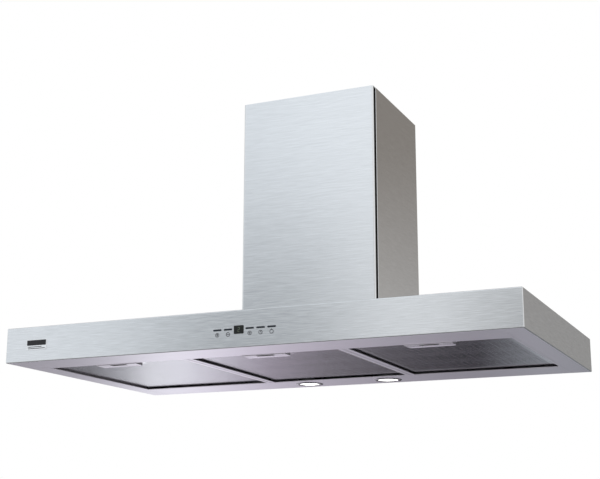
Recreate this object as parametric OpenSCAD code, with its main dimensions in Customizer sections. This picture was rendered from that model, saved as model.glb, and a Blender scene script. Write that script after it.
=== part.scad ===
// Wall-mounted range hood: a flat steel canopy with three grease filters, two lamps and push
// buttons, a blower in an airbox above it, and a telescopic rectangular chimney cover.
// Origin: on the wall, at the middle of the canopy's lower rear edge.
// +X to the right seen from the front, +Y towards the wall, +Z up. Millimetres.

/* [Canopy] */
// Width of the canopy
canopy_w = 900; // [780:5:1200]
// Depth of the canopy, from the wall to its front face
canopy_d = 500; // [460:5:620]
// Height of the canopy
canopy_h = 60; // [56:1:90]
// Thickness of the steel sheet
sheet_t = 1.2; // [0.8:0.04:1.6]
// Width of the lip folded in under the front and the sides
lip_w = 33; // [24:1:42]
// Depth of the rail between the front lip and the filters
front_rail_d = 47; // [36:1:60]
// Depth of the lamp panel behind the filters
lamp_panel_d = 90; // [80:1:110]
// Visible width of each side rail inside the lip
side_rail_w = 6; // [4:1:10]
// Gap between two sheet edges that butt together
seam_gap = 0.3; // [0.1:0.1:1]

/* [Filters] */
// Width of the bar between two filters
divider_w = 17; // [12:1:24]
// Gap between a filter and the bars beside it
filter_gap = 1.5; // [1:0.1:3]
// Gap between a filter's rear edge and the lamp panel
filter_rear_gap = 3; // [2.5:0.1:5]
// Thickness of a filter
filter_t = 9; // [7:0.5:14]
// Height of a filter's face above the canopy's lower edge
filter_recess = 3.5; // [3:0.1:5]
// Width of a filter's frame
filter_border = 10; // [8:1:16]
// Thickness of a filter's perforated face
grille_t = 0.8; // [0.6:0.1:1.2]

/* [Filter latch] */
// Width of the latch plate at its front edge
latch_w = 78; // [60:1:100]
// Depth of the latch plate
latch_d = 26; // [26:1:46]
// How far the ends of the latch plate slant in
latch_slant = 1; // [0:0.5:12]
// Width of the finger slot in the latch plate
slot_w = 32; // [24:1:44]
// Depth of the finger slot in the latch plate
slot_d = 11; // [6:0.5:12]
// Distance that the latch slides back
latch_travel = 5; // [3:0.5:7]

/* [Controls] */
// Width of a button
key_w = 14.3; // [10:0.1:16]
// Height of a button
key_h = 2.4; // [2:0.1:5]
// Distance from one control to the next
key_pitch = 19; // [18:0.5:26]
// Height of the buttons above the canopy's lower edge
key_z = 29.5; // [26:0.5:34]
// How far the middle of the control row stands to the right of the canopy's middle
controls_x = 5.5; // [-60:0.5:60]
// How far a button stands out of the front face
key_proud = 0.9; // [0.3:0.1:2]
// Distance that a button travels
key_travel = 0.7; // [0.3:0.1:0.8]
// Width of the display window
display_w = 17.3; // [14:0.1:18]
// Height of the display window
display_h = 13.5; // [9:0.1:20]

/* [Lamps] */
// Distance from the middle of the canopy to each lamp
lamp_x = 80; // [70:1:200]
// Outer diameter of a lamp's bezel
bezel_dia = 52; // [48:1:60]
// Diameter of the lit opening
lens_dia = 37; // [30:1:40]
// How far the bezel stands out below the lamp panel
bezel_proud = 1.6; // [0.8:0.1:3]

/* [Chimney cover] */
// Width of the chimney cover
cover_w = 260; // [250:1:340]
// Depth of the chimney cover
cover_d = 240; // [236:1:320]
// Height of the chimney cover above the canopy
cover_h = 450; // [420:5:700]
// Depth of the folded sides of the front panel
front_fold_d = 6; // [4:1:12]
// Width of the shadow gap between the front panel and a side panel
shadow_gap = 9; // [5:1:14]
// Depth of the shadow gap
shadow_depth = 8; // [6:1:10]
// Clearance between the fixed cover and the sliding upper cover
slide_clear = 1.2; // [0.6:0.1:2]

/* [Blower] */
// Outer diameter of the duct collar
duct_dia = 150; // [120:5:150]
// Height of the duct collar above the airbox
duct_h = 55; // [50:1:80]
// Height of the airbox
airbox_h = 270; // [265:1:300]
// Clearance between the airbox and the chimney cover's inner faces
airbox_clear = 10.8; // [10:0.2:14]
// Distance from the wall to the airbox
wall_space = 14; // [10:1:20]
// Outer diameter of the impeller
impeller_dia = 140; // [110:2:144]
// Width of the impeller
impeller_w = 100; // [80:2:104]
// Diameter of the motor shaft
shaft_dia = 8; // [6:0.5:10]
// Diameter of the motor
motor_dia = 76; // [60:1:84]
// Radial clearance of a pin or shaft that turns in a hole
pin_clear = 0.05; // [0.02:0.01:0.1]
// Diameter of the pin that the damper flaps turn on
damper_pin_dia = 3; // [2.5:0.1:4]

/* [Fixings] */
// Distance between the wall screws, sideways
wall_hole_x = 170; // [120:5:190]
// Distance between the wall screws, up and down
wall_hole_z = 200; // [150:5:210]
// Diameter of the wall screw holes
wall_hole_dia = 8; // [6:0.5:10]
// Distance between the two screws of the upper bracket
bracket_hole_x = 100; // [60:5:180]
// Diameter of the bore of the cable gland
gland_bore = 8; // [6:0.5:10]

/* [Hidden] */
$fn = 64;

// Cuts run past the faces that they open by this much
over = 1;

// Canopy
half_w = canopy_w / 2;
front_y = -canopy_d;
lip_x = half_w - lip_w;
lip_y = front_y + lip_w;
rail_back_y = lip_y + front_rail_d;
panel_front_y = -lamp_panel_d;
opening_x = lip_x - side_rail_w;
lap = 12;
rail_upturn = 12;
side_rail_h = 24;
divider_h = 30;
groove_w = 1.6;
groove_d = sheet_t / 2;

// Filters: three equal bays between the side rails
bay_w = (2 * opening_x - 2 * divider_w) / 3;
bay_pitch = bay_w + divider_w;
filter_w = bay_w - 2 * filter_gap;
filter_front_y = rail_back_y + filter_gap;
filter_back_y = panel_front_y - filter_rear_gap;
filter_top = filter_recess + filter_t;
grille_top = filter_recess + grille_t;
mesh_t = filter_t - grille_t - 1.4;
tab_w = 20;
tab_out = 11;
tab_t = 1.2;
tab_inset = 36;

// Latch
latch_plate_t = 4.4;
latch_face_gap = 0.3;
latch_top = filter_recess - latch_face_gap;
latch_front_y = filter_front_y + latch_face_gap;
latch_body_w = 44;
latch_body_t = 4;
pocket_clear = 1;
pocket_w = latch_body_w + 2 * pocket_clear;
pocket_wall = 1.6;
pocket_front_y = filter_front_y + pocket_wall;
slot_front = 2.5;
tongue_w = 18;
tongue_t = 2;
tongue_short = 0.4;
neck_w = 36;
neck_d = 5;
neck_front_y = latch_front_y + slot_front + slot_d + 1;
neck_back_y = neck_front_y + neck_d;
pocket_back_y = neck_back_y + latch_travel + pocket_clear;

// Controls
places = 6;
display_place = 2;
key_clear = 0.3;
key_flange = 1.2;
key_flange_t = 1.2;
key_flange_gap = 0.2;
key_reach = 8;
board_t = 1.6;
switch_gap = 0.15;
switch_h = 3.5;
key_tip_y = front_y + sheet_t + key_reach;
switch_front_y = key_tip_y + key_travel + switch_gap;
board_y = switch_front_y + switch_h;
housing_wall = 1.6;
housing_margin = 5;
housing_h = 32;
housing_d = board_y + board_t + 14 - (front_y + sheet_t);
row_w = (places - 1) * key_pitch;
housing_w = row_w + key_pitch + 2 * housing_margin;
display_z = key_z - 1.2;
window_lip = 0.9;
badge_w = 41;
badge_h = 18;
badge_t = 0.8;
badge_x = -(half_w - 62.5);
badge_z = 29;

// Lamps
lamp_y = -44;
bezel_r = bezel_dia / 2;
lens_r = lens_dia / 2;
lamp_hole_r = bezel_r - 4;
can_r = lamp_hole_r - 1;
can_h = 27;
can_wall = 1;
ballast = [84, 42, 28];

// Chimney cover
cover_x = cover_w / 2;
cover_top = canopy_h + cover_h;
side_front_y = -cover_d + front_fold_d + shadow_gap;
side_inner_x = cover_x - sheet_t;
flange = 15;
channel_set_back = 0.2;
upper_x = side_inner_x - slide_clear;
upper_front_y = side_front_y + sheet_t + slide_clear;
upper_back_y = -sheet_t - slide_clear;
upper_low = canopy_h + 6;
upper_high = cover_top - 4;
bracket_h = 30;
bracket_back_t = -upper_back_y + sheet_t;
bracket_t = 2.2;
bracket_ear = 24;

// Airbox and blower
airbox_x = side_inner_x - airbox_clear;
airbox_front_y = upper_front_y + sheet_t + 5.4;
airbox_back_y = -wall_space;
airbox_y = (airbox_front_y + airbox_back_y) / 2;
airbox_top = canopy_h + airbox_h;
airbox_flange = 12;
throat_x = airbox_x - airbox_flange;
throat_front_y = airbox_front_y + airbox_flange;
throat_back_y = airbox_back_y - airbox_flange;
duct_r = duct_dia / 2;
collar_wall = 2;
collar_flange = 7;
damper_z = airbox_top + 16;
pin_r = damper_pin_dia / 2;
knuckle_r = pin_r + pin_clear + 1.4;
flap_t = 1.2;
flap_clear = 1.5;
flap_r = duct_r - collar_wall - flap_clear;
knuckle_gap = 1;
front_knuckle_in = 24;
knuckle_len = 16;

impeller_r = impeller_dia / 2;
blade_inner_r = impeller_r - 13;
blades = 28;
blade_t = 1;
blade_lean = 28;
ring_t = 2;
hub_r = 12;
hub_len = 24;
scroll_t = 1.5;
scroll_start_r = impeller_r + 8 + scroll_t;
scroll_end_r = scroll_start_r + 12;
scroll_sweep = 200;
scroll_steps = 40;
tongue_angle = 20;
scroll_x = impeller_w / 2 + 8;
scroll_z = canopy_h + 14 + scroll_end_r;
outlet_half = duct_r - collar_wall - 1;
inlet_r = impeller_r - 16;
motor_r = motor_dia / 2;
motor_x0 = hub_len / 2 + 5;
motor_x1 = scroll_x + 12;
shaft_r = shaft_dia / 2;
shaft_in = 20;
arm_w = 10;
arm_r = inlet_r + 12;
capacitor_r = 14;
capacitor_len = 60;

// Terminal box in the rear right corner of the airbox's top
terminal = [46, 38, 30];
terminal_x = airbox_x - 6 - terminal[0] / 2;
terminal_y = airbox_back_y - 3 - terminal[1] / 2;
gland_r = 10;
gland_h = 14;
wire_r = 2.2;
wire_sides = 8;
wire_ref = [0.3, 0.5, 0.8];
wire_hole_r = 4;

// Screws
screw_r = 2;
head_r = 3.8;
head_h = 2.2;

// A block between two values on each axis
module block(x, y, z) {
  translate([x[0], y[0], z[0]]) cube([x[1] - x[0], y[1] - y[0], z[1] - z[0]]);
}

// A pan-head screw pointing down, its head's underside at the origin
module screw(length) {
  translate([0, 0, -length]) cylinder(r = screw_r, h = length, $fn = 24);
  difference() {
    cylinder(r = head_r, h = head_h, $fn = 32);
    for (turn = [0, 90])
      translate([0, 0, head_h - 0.8]) rotate([0, 0, turn])
        translate([-2.4, -0.5, 0]) cube([4.8, 1, 0.8 + over]);
  }
}

// Direction of a wire at one of its points, halfway round where it bends
function unit(v) = v / norm(v);
function wire_dir(points, i) =
  let(before = i == 0 ? [0, 0, 0] : unit(points[i] - points[i - 1]),
      after = i == len(points) - 1 ? [0, 0, 0] : unit(points[i + 1] - points[i]))
    unit(before + after);

// A wire swept along a list of points as one closed tube
module wire(points) {
  last = len(points) - 1;
  corners = [for (i = [0 : last])
    let(along = wire_dir(points, i),
        side = unit(cross(along, wire_ref)),
        up = cross(along, side))
      for (k = [0 : wire_sides - 1])
        points[i] + wire_r * (cos(k * 360 / wire_sides) * side + sin(k * 360 / wire_sides) * up)];
  walls = [for (i = [0 : last - 1], k = [0 : wire_sides - 1])
    let(next = (k + 1) % wire_sides, a = i * wire_sides, b = a + wire_sides)
      [a + k, b + k, b + next, a + next]];
  ends = [
    [for (k = [0 : wire_sides - 1]) k],
    [for (k = [wire_sides - 1 : -1 : 0]) last * wire_sides + k]
  ];
  polyhedron(corners, concat(walls, ends));
}

function place_x(i) = controls_x + (i - (places - 1) / 2) * key_pitch;
function filter_x(i) = (i - 1) * bay_pitch;

// ---- Canopy -------------------------------------------------------------------------------

module canopy_shell() color("gainsboro") difference() {
  block([-half_w, half_w], [front_y, 0], [0, canopy_h]);
  block([-half_w + sheet_t, half_w - sheet_t], [front_y + sheet_t, -sheet_t],
    [sheet_t, canopy_h - sheet_t]);
  block([-lip_x, lip_x], [lip_y, -sheet_t], [-over, sheet_t + over]);
  // throat to the blower
  block([-throat_x, throat_x], [throat_front_y, throat_back_y],
    [canopy_h - sheet_t - over, canopy_h + over]);
  // windows for the buttons and the display
  for (i = [0 : places - 1])
    if (i != display_place)
      front_window(place_x(i), key_z, key_w + 2 * key_clear, key_h + 2 * key_clear);
  front_window(place_x(display_place), display_z, display_w, display_h);
  canopy_screw_places() cylinder(r = screw_r, h = 4 * sheet_t, center = true, $fn = 24);
  chimney_screw_places() cylinder(r = screw_r, h = 4 * sheet_t, center = true, $fn = 24);
}

module front_window(x, z, w, h) {
  block([x - w / 2, x + w / 2], [front_y - over, front_y + sheet_t + over],
    [z - h / 2, z + h / 2]);
}

module canopy_screw_places() {
  inset = airbox_flange / 2;
  for (side = [-1, 1]) {
    for (y = [throat_front_y + 22, throat_back_y - 22])
      translate([side * (airbox_x - inset), y, canopy_h]) children();
    translate([side * 60, airbox_front_y + inset, canopy_h]) children();
  }
}

module chimney_screw_places() {
  for (side = [-1, 1])
    for (y = [side_front_y + 35, -50])
      translate([side * (side_inner_x - 5), y, canopy_h]) children();
}

module front_rail() color("thistle") difference() {
  union() {
    block([-lip_x + seam_gap, lip_x - seam_gap], [lip_y + seam_gap, rail_back_y], [0, sheet_t]);
    block([-lip_x + seam_gap, lip_x - seam_gap], [lip_y - lap, lip_y + lap],
      [sheet_t, 2 * sheet_t]);
    block([-lip_x + seam_gap, lip_x - seam_gap], [rail_back_y - sheet_t, rail_back_y],
      [sheet_t, rail_upturn]);
  }
  // the upturned edge is open at the dividers and at the latches
  for (side = [-1, 1])
    block([side * bay_pitch / 2 - divider_w / 2, side * bay_pitch / 2 + divider_w / 2],
      [rail_back_y - sheet_t - over, rail_back_y + over], [sheet_t, rail_upturn + over]);
  for (i = [0 : 2])
    block([filter_x(i) - latch_w / 2, filter_x(i) + latch_w / 2],
      [rail_back_y - sheet_t - over, rail_back_y + over], [sheet_t, rail_upturn + over]);
}

module side_rails() color("thistle") for (side = [0, 1]) mirror([side, 0, 0]) {
  outer = lip_x - seam_gap;
  ends = [rail_back_y + seam_gap, panel_front_y - seam_gap];
  block([opening_x, outer], ends, [0, sheet_t]);
  block([outer - sheet_t, outer], ends, [sheet_t, side_rail_h]);
  block([outer, outer + lap], ends, [sheet_t, 2 * sheet_t]);
}

module lamp_panel() color("thistle") difference() {
  outer = lip_x - seam_gap;
  back = -sheet_t - seam_gap;
  union() {
    block([-outer, outer], [panel_front_y, back], [0, sheet_t]);
    block([-outer, outer], [back - sheet_t, back], [sheet_t, side_rail_h]);
    for (side = [0, 1]) mirror([side, 0, 0])
      block([outer - lap, outer + lap], [panel_front_y + lap, back], [sheet_t, 2 * sheet_t]);
  }
  lamp_places() cylinder(r = lamp_hole_r, h = 4 * sheet_t, center = true);
}

module lamp_places() {
  for (side = [-1, 1])
    translate([side * lamp_x, lamp_y, 0]) children();
}

module divider(side) color("thistle") difference() {
  x = side * bay_pitch / 2;
  half = divider_w / 2;
  union() {
    block([x - half, x + half], [rail_back_y + seam_gap, panel_front_y - seam_gap], [0, sheet_t]);
    block([x - half + 2, x + half - 2], [rail_back_y - lap, rail_back_y + lap],
      [sheet_t, 2 * sheet_t]);
    block([x - half + 2, x + half - 2], [panel_front_y - lap, panel_front_y + lap],
      [sheet_t, 2 * sheet_t]);
    block([x - sheet_t / 2, x + sheet_t / 2], [rail_back_y + lap, panel_front_y - lap],
      [sheet_t, divider_h]);
  }
  block([x - groove_w / 2, x + groove_w / 2], [front_y, 0], [-over, groove_d]);
}

module divider_left() divider(-1);
module divider_right() divider(1);

module badge_plate() color("silver")
  block([badge_x - badge_w / 2, badge_x + badge_w / 2], [front_y - badge_t, front_y],
    [badge_z - badge_h / 2, badge_z + badge_h / 2]);

// The plate is screwed to the wall first, and the airbox hangs on its two ribs
module wall_mounting_plate() color("darkgray") difference() {
  plate_t = 2.5;
  half = wall_hole_x / 2 + 15;
  low = canopy_h + 15;
  high = airbox_top - 10;
  rib_x = wall_hole_x / 2 - 22;
  union() {
    block([-half, half], [-plate_t, 0], [low, high]);
    for (side = [0, 1]) mirror([side, 0, 0])
      block([rib_x - 12, rib_x], [airbox_back_y, -plate_t], [low, high]);
  }
  for (x = [-1, 1], z = [-1, 1])
    translate([x * wall_hole_x / 2, 0, (low + high) / 2 + z * wall_hole_z / 2])
      rotate([90, 0, 0]) cylinder(r = wall_hole_dia / 2, h = 4 * plate_t, center = true);
  block([-rib_x + 20, rib_x - 20], [-plate_t - over, over], [low + 40, high - 40]);
}

// ---- Controls ------------------------------------------------------------------------------

module control_housing() color("dimgray") {
  y0 = front_y + sheet_t;
  y1 = y0 + housing_d;
  z0 = key_z - 3 - housing_h / 2;
  x0 = controls_x - housing_w / 2;
  difference() {
    block([x0, x0 + housing_w], [y0, y1], [z0, z0 + housing_h]);
    block([x0 + housing_wall, x0 + housing_w - housing_wall], [y0 - over, y1 - housing_wall],
      [z0 + housing_wall, z0 + housing_h - housing_wall]);
  }
}

module control_board() color("darkgreen") {
  half = housing_w / 2 - housing_wall;
  block([controls_x - half, controls_x + half], [board_y, board_y + board_t],
    [key_z - 3 - housing_h / 2 + housing_wall, key_z - 3 + housing_h / 2 - housing_wall]);
}

module display_window() color("black") {
  x = place_x(display_place);
  block([x - display_w / 2, x + display_w / 2], [front_y - 0.4, front_y + sheet_t],
    [display_z - display_h / 2, display_z + display_h / 2]);
  block([x - display_w / 2 - window_lip, x + display_w / 2 + window_lip],
    [front_y + sheet_t, front_y + sheet_t + 1],
    [display_z - display_h / 2 - window_lip, display_z + display_h / 2 + window_lip]);
}

module display_module() color("dimgray") {
  x = place_x(display_place);
  block([x - 6, x + 6], [front_y + sheet_t + 1, board_y], [display_z - 5, display_z + 5]);
}

module button_switches() color("black")
  for (i = [0 : places - 1])
    if (i != display_place) translate([place_x(i), 0, key_z])
      block([-3, 3], [switch_front_y, board_y], [-3, 3]);

// A slim bar in the front face, with a flange behind it and a stem down to its switch
module button(i) color("gray") translate([place_x(i), 0, key_z]) {
  inner = front_y + sheet_t + key_flange_gap;
  block([-key_w / 2, key_w / 2], [front_y - key_proud, inner], [-key_h / 2, key_h / 2]);
  block([-key_w / 2 - key_flange, key_w / 2 + key_flange], [inner, inner + key_flange_t],
    [-key_h / 2 - key_flange, key_h / 2 + key_flange]);
  block([-1.5, 1.5], [inner + key_flange_t, key_tip_y], [-1.5, 1.5]);
}

module button_light() button(0);
module button_speed_down() button(1);
module button_speed_up() button(3);
module button_timer() button(4);
module button_power() button(5);

// ---- Lamps ---------------------------------------------------------------------------------

module lamp_bezel(side) color("silver") translate([side * lamp_x, lamp_y, 0]) rotate_extrude()
  polygon([
    [lens_r, -bezel_proud * 0.6],
    [lens_r + 1.5, -bezel_proud],
    [bezel_r - 1.5, -bezel_proud],
    [bezel_r, -bezel_proud * 0.5],
    [bezel_r, 0],
    [lamp_hole_r - 0.2, 0],
    [lamp_hole_r - 0.2, sheet_t + 2],
    [lens_r, sheet_t + 2]
  ]);

module lamp_bezel_left() lamp_bezel(-1);
module lamp_bezel_right() lamp_bezel(1);

module lamp_lenses() color("white", 0.8) lamp_places()
  translate([0, 0, -0.2]) cylinder(r = lens_r, h = 2);

module lamp_cans() color("silver") lamp_places() difference() {
  translate([0, 0, sheet_t + 2]) cylinder(r = can_r, h = can_h);
  translate([0, 0, sheet_t + 2 - over]) cylinder(r = can_r - can_wall, h = can_h + over - 4);
}

module lamp_bulbs() color("lightyellow") lamp_places() rotate_extrude()
  polygon([
    [0, sheet_t + 4],
    [lens_r - 1, sheet_t + 4],
    [lens_r - 3, sheet_t + 10],
    [5, sheet_t + 20],
    [5, sheet_t + can_h - 2],
    [0, sheet_t + can_h - 2]
  ]);

module lamp_transformer() color("dimgray") difference() {
  block([-ballast[0] / 2, ballast[0] / 2], [lamp_y - ballast[1] / 2, lamp_y + ballast[1] / 2],
    [sheet_t, sheet_t + ballast[2]]);
  for (side = [-1, 1])
    translate([side * (ballast[0] / 2 - 6), lamp_y, sheet_t + ballast[2]])
      cube([6, ballast[1] - 10, 8], center = true);
}

// ---- Filters -------------------------------------------------------------------------------

module latch_opening(x, low, high) {
  block([x - neck_w / 2 - pocket_clear, x + neck_w / 2 + pocket_clear],
    [pocket_front_y, pocket_back_y], [low, high]);
}

module filter_frame(i) color("silver") translate([filter_x(i), 0, 0]) {
  half = filter_w / 2;
  difference() {
    union() {
      difference() {
        block([-half, half], [filter_front_y, filter_back_y], [grille_top, filter_top]);
        block([-half + filter_border, half - filter_border],
          [filter_front_y + filter_border, filter_back_y - filter_border],
          [grille_top - over, filter_top + over]);
      }
      // housing of the latch
      block([-pocket_w / 2 - pocket_wall, pocket_w / 2 + pocket_wall],
        [filter_front_y, pocket_back_y + pocket_wall], [grille_top, filter_top]);
    }
    block([-pocket_w / 2, pocket_w / 2], [pocket_front_y, pocket_back_y],
      [grille_top - over, filter_top - pocket_wall]);
    // way out for the tongue
    block([-tongue_w / 2 - pocket_clear, tongue_w / 2 + pocket_clear],
      [filter_front_y - over, pocket_front_y + over],
      [grille_top - over, grille_top + pocket_clear + tongue_t + pocket_clear]);
  }
  // tabs that lie over the lamp panel
  for (side = [0, 1]) mirror([side, 0, 0])
    block([half - tab_inset - tab_w, half - tab_inset], [filter_back_y, filter_back_y + tab_out],
      [grille_top + 1, grille_top + 1 + tab_t]);
}

module filter_grille(i) color("lavender") translate([filter_x(i), 0, 0]) difference() {
  block([-filter_w / 2, filter_w / 2], [filter_front_y, filter_back_y],
    [filter_recess, grille_top]);
  latch_opening(0, filter_recess - over, grille_top + over);
}

module filter_mesh(i) color("darkgray") translate([filter_x(i), 0, 0]) {
  half = filter_w / 2 - filter_border;
  difference() {
    block([-half, half], [filter_front_y + filter_border, filter_back_y - filter_border],
      [grille_top, grille_top + mesh_t]);
    block([-pocket_w / 2 - pocket_wall, pocket_w / 2 + pocket_wall],
      [filter_front_y, pocket_back_y + pocket_wall], [filter_recess, filter_top]);
  }
}

// A plate under the filter's face with a finger slot, joined to a slide inside the filter
module filter_latch(i) color("thistle") translate([filter_x(i), 0, 0]) {
  half = latch_w / 2;
  low = latch_top - latch_plate_t;
  slide_y = pocket_front_y + pocket_clear;
  slide_z = grille_top + pocket_clear;
  difference() {
    translate([0, 0, low]) linear_extrude(latch_plate_t)
      polygon([
        [-half, latch_front_y],
        [half, latch_front_y],
        [half - latch_slant, latch_front_y + latch_d],
        [-half + latch_slant, latch_front_y + latch_d]
      ]);
    block([-slot_w / 2, slot_w / 2], [latch_front_y + slot_front, latch_front_y + slot_front + slot_d],
      [low - over, latch_top + over]);
  }
  // neck through the face, behind the finger slot
  block([-neck_w / 2, neck_w / 2], [neck_front_y, neck_back_y], [latch_top, slide_z]);
  difference() {
    block([-latch_body_w / 2, latch_body_w / 2], [slide_y, neck_back_y],
      [slide_z, slide_z + latch_body_t]);
    block([-slot_w / 2, slot_w / 2], [slide_y + slot_front, neck_front_y - 1],
      [slide_z - over, slide_z + latch_body_t + over]);
  }
  block([-tongue_w / 2, tongue_w / 2], [rail_back_y + tongue_short, slide_y],
    [slide_z, slide_z + tongue_t]);
}

module filter_frame_left() filter_frame(0);
module filter_frame_centre() filter_frame(1);
module filter_frame_right() filter_frame(2);
module filter_grille_left() filter_grille(0);
module filter_grille_centre() filter_grille(1);
module filter_grille_right() filter_grille(2);
module filter_mesh_left() filter_mesh(0);
module filter_mesh_centre() filter_mesh(1);
module filter_mesh_right() filter_mesh(2);
module filter_latch_left() filter_latch(0);
module filter_latch_centre() filter_latch(1);
module filter_latch_right() filter_latch(2);

// ---- Blower --------------------------------------------------------------------------------

module airbox() color("lightgray") difference() {
  block([-airbox_x, airbox_x], [airbox_front_y, airbox_back_y], [canopy_h, airbox_top]);
  block([-airbox_x + sheet_t, airbox_x - sheet_t],
    [airbox_front_y + sheet_t, airbox_back_y - sheet_t],
    [canopy_h + sheet_t, airbox_top - sheet_t]);
  block([-throat_x, throat_x], [throat_front_y, throat_back_y],
    [canopy_h - over, canopy_h + sheet_t + over]);
  translate([0, airbox_y, airbox_top])
    cylinder(r = duct_r - collar_wall, h = 4 * sheet_t, center = true);
  wire_entries(airbox_top) cylinder(r = wire_hole_r, h = 4 * sheet_t, center = true, $fn = 24);
  canopy_screw_places() cylinder(r = screw_r, h = 4 * sheet_t, center = true, $fn = 24);
}

// Three wires enter the terminal box from the airbox below it
module wire_entries(z) {
  for (i = [-1 : 1])
    translate([terminal_x + i * 13, terminal_y, z]) children();
}

// Outline of the scroll across the shaft, drawn inside the outer wall by the given inset
function scroll_r(a) = scroll_start_r + (scroll_end_r - scroll_start_r) * a / scroll_sweep;
function scroll_outline(inset, top) = concat(
  [for (i = [0 : scroll_steps])
    let(a = scroll_sweep * i / scroll_steps)
      (scroll_r(a) - inset) * [cos(tongue_angle - a), sin(tongue_angle - a)]],
  [[-outlet_half + inset, top], [outlet_half - inset, top]]);

module scroll_section(inset, top, x0, x1) {
  translate([x0, airbox_y, scroll_z]) rotate([90, 0, 90])
    linear_extrude(x1 - x0) polygon(scroll_outline(inset, top));
}

module scroll_housing() color("gainsboro") difference() {
  top = airbox_top - sheet_t - scroll_z;
  scroll_section(0, top, -scroll_x, scroll_x);
  scroll_section(scroll_t, top + over, -scroll_x + scroll_t, scroll_x - scroll_t);
  translate([0, airbox_y, scroll_z]) rotate([0, 90, 0])
    cylinder(r = inlet_r, h = 4 * scroll_x, center = true, $fn = 96);
  translate([scroll_x, airbox_y, scroll_z]) rotate([0, 90, 0]) bracket_screw_places()
    cylinder(r = screw_r, h = 10, center = true, $fn = 24);
}

module impeller() color("lightgray") translate([0, airbox_y, scroll_z]) rotate([0, 90, 0])
difference() {
  union() {
    for (z = [-impeller_w / 2, impeller_w / 2 - ring_t])
      translate([0, 0, z]) difference() {
        cylinder(r = impeller_r, h = ring_t);
        translate([0, 0, -over]) cylinder(r = blade_inner_r, h = ring_t + 2 * over);
      }
    translate([0, 0, -ring_t / 2]) cylinder(r = impeller_r, h = ring_t);
    translate([0, 0, -hub_len / 2]) cylinder(r = hub_r, h = hub_len);
    for (i = [0 : blades - 1])
      rotate([0, 0, i * 360 / blades]) translate([blade_inner_r + 0.6, 0, -impeller_w / 2])
        rotate([0, 0, blade_lean]) cube([impeller_r - blade_inner_r - 1, blade_t, impeller_w]);
  }
  cylinder(r = shaft_r, h = 2 * impeller_w, center = true);
}

module motor_shaft() color("silver") translate([-hub_len / 2 - 3, airbox_y, scroll_z])
  rotate([0, 90, 0]) cylinder(r = shaft_r, h = motor_x0 + shaft_in + hub_len / 2 + 3);

module motor() color("darkslategray") translate([0, airbox_y, scroll_z]) rotate([0, 90, 0])
difference() {
  union() {
    translate([0, 0, motor_x0]) cylinder(r = motor_r - 6, h = 4);
    translate([0, 0, motor_x0 + 4]) cylinder(r = motor_r, h = motor_x1 - motor_x0 - 12);
    translate([0, 0, motor_x1 - 8]) cylinder(r = motor_r - 5, h = 8);
  }
  translate([0, 0, motor_x0 - over])
    cylinder(r = shaft_r + pin_clear, h = shaft_in + over + 1);
}

module motor_bracket() color("silver") translate([scroll_x, airbox_y, scroll_z])
rotate([0, 90, 0]) difference() {
  union() {
    cylinder(r = motor_r + 6, h = 2);
    for (arm = [0, 120, 240])
      rotate([0, 0, arm]) translate([0, -arm_w / 2, 0]) cube([arm_r, arm_w, 2]);
  }
  translate([0, 0, -over]) cylinder(r = motor_r, h = 2 + 2 * over);
  bracket_screw_places() cylinder(r = screw_r, h = 10, center = true, $fn = 24);
}

module bracket_screw_places() {
  for (arm = [0, 120, 240])
    rotate([0, 0, arm]) translate([arm_r - 6, 0, 0]) children();
}

module run_capacitor() color("gainsboro")
  translate([airbox_x - sheet_t - capacitor_r, airbox_front_y + sheet_t + capacitor_r + 4,
    airbox_top - 90]) {
    cylinder(r = capacitor_r, h = capacitor_len);
    translate([0, 0, capacitor_len]) cylinder(r = capacitor_r - 4, h = 4);
  }

module outlet_collar() color("gray") translate([0, airbox_y, airbox_top]) difference() {
  union() {
    cylinder(r = duct_r, h = duct_h, $fn = 96);
    cylinder(r = duct_r + collar_flange, h = 2, $fn = 96);
  }
  translate([0, 0, -over]) cylinder(r = duct_r - collar_wall, h = duct_h + 2 * over, $fn = 96);
  translate([0, 0, damper_z - airbox_top]) rotate([0, 90, 0])
    cylinder(r = pin_r, h = 2 * duct_r - 1, center = true, $fn = 24);
}

module damper_pin() color("silver") translate([0, airbox_y, damper_z]) rotate([0, 90, 0])
  cylinder(r = pin_r, h = 2 * duct_r - 1, center = true, $fn = 24);

// A half disc on one side of the pin, with its own knuckles round the pin
module damper_flap(side, spans) color("darkgray") translate([0, airbox_y, damper_z]) difference() {
  union() {
    intersection() {
      translate([0, 0, -flap_t / 2]) cylinder(r = flap_r, h = flap_t);
      mirror([0, side > 0 ? 0 : 1, 0])
        block([-flap_r, flap_r], [knuckle_r + 0.4, flap_r], [-flap_t, flap_t]);
    }
    for (span = spans) {
      translate([span[0], 0, 0]) rotate([0, 90, 0])
        cylinder(r = knuckle_r, h = span[1] - span[0], $fn = 32);
      mirror([0, side > 0 ? 0 : 1, 0])
        block(span, [0, knuckle_r + 1], [-flap_t / 2, flap_t / 2]);
    }
  }
  rotate([0, 90, 0])
    cylinder(r = pin_r + pin_clear, h = 3 * duct_r, center = true, $fn = 24);
}

module damper_flap_front() damper_flap(-1, [
  [-front_knuckle_in - knuckle_len, -front_knuckle_in],
  [front_knuckle_in, front_knuckle_in + knuckle_len]
]);
module damper_flap_rear() damper_flap(1, [
  [-front_knuckle_in + knuckle_gap, -front_knuckle_in + knuckle_gap + knuckle_len],
  [front_knuckle_in - knuckle_gap - knuckle_len, front_knuckle_in - knuckle_gap]
]);

module terminal_box() color("dimgray") translate([terminal_x, terminal_y, airbox_top]) {
  difference() {
    translate([-terminal[0] / 2, -terminal[1] / 2, 0]) cube(terminal);
    translate([-terminal[0] / 2 + 2, -terminal[1] / 2 + 2, -over])
      cube([terminal[0] - 4, terminal[1] - 4, terminal[2] - 2 + over]);
    translate([0, 0, terminal[2]])
      cylinder(r = gland_bore / 2 + 1, h = 10, center = true, $fn = 32);
  }
}

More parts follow.
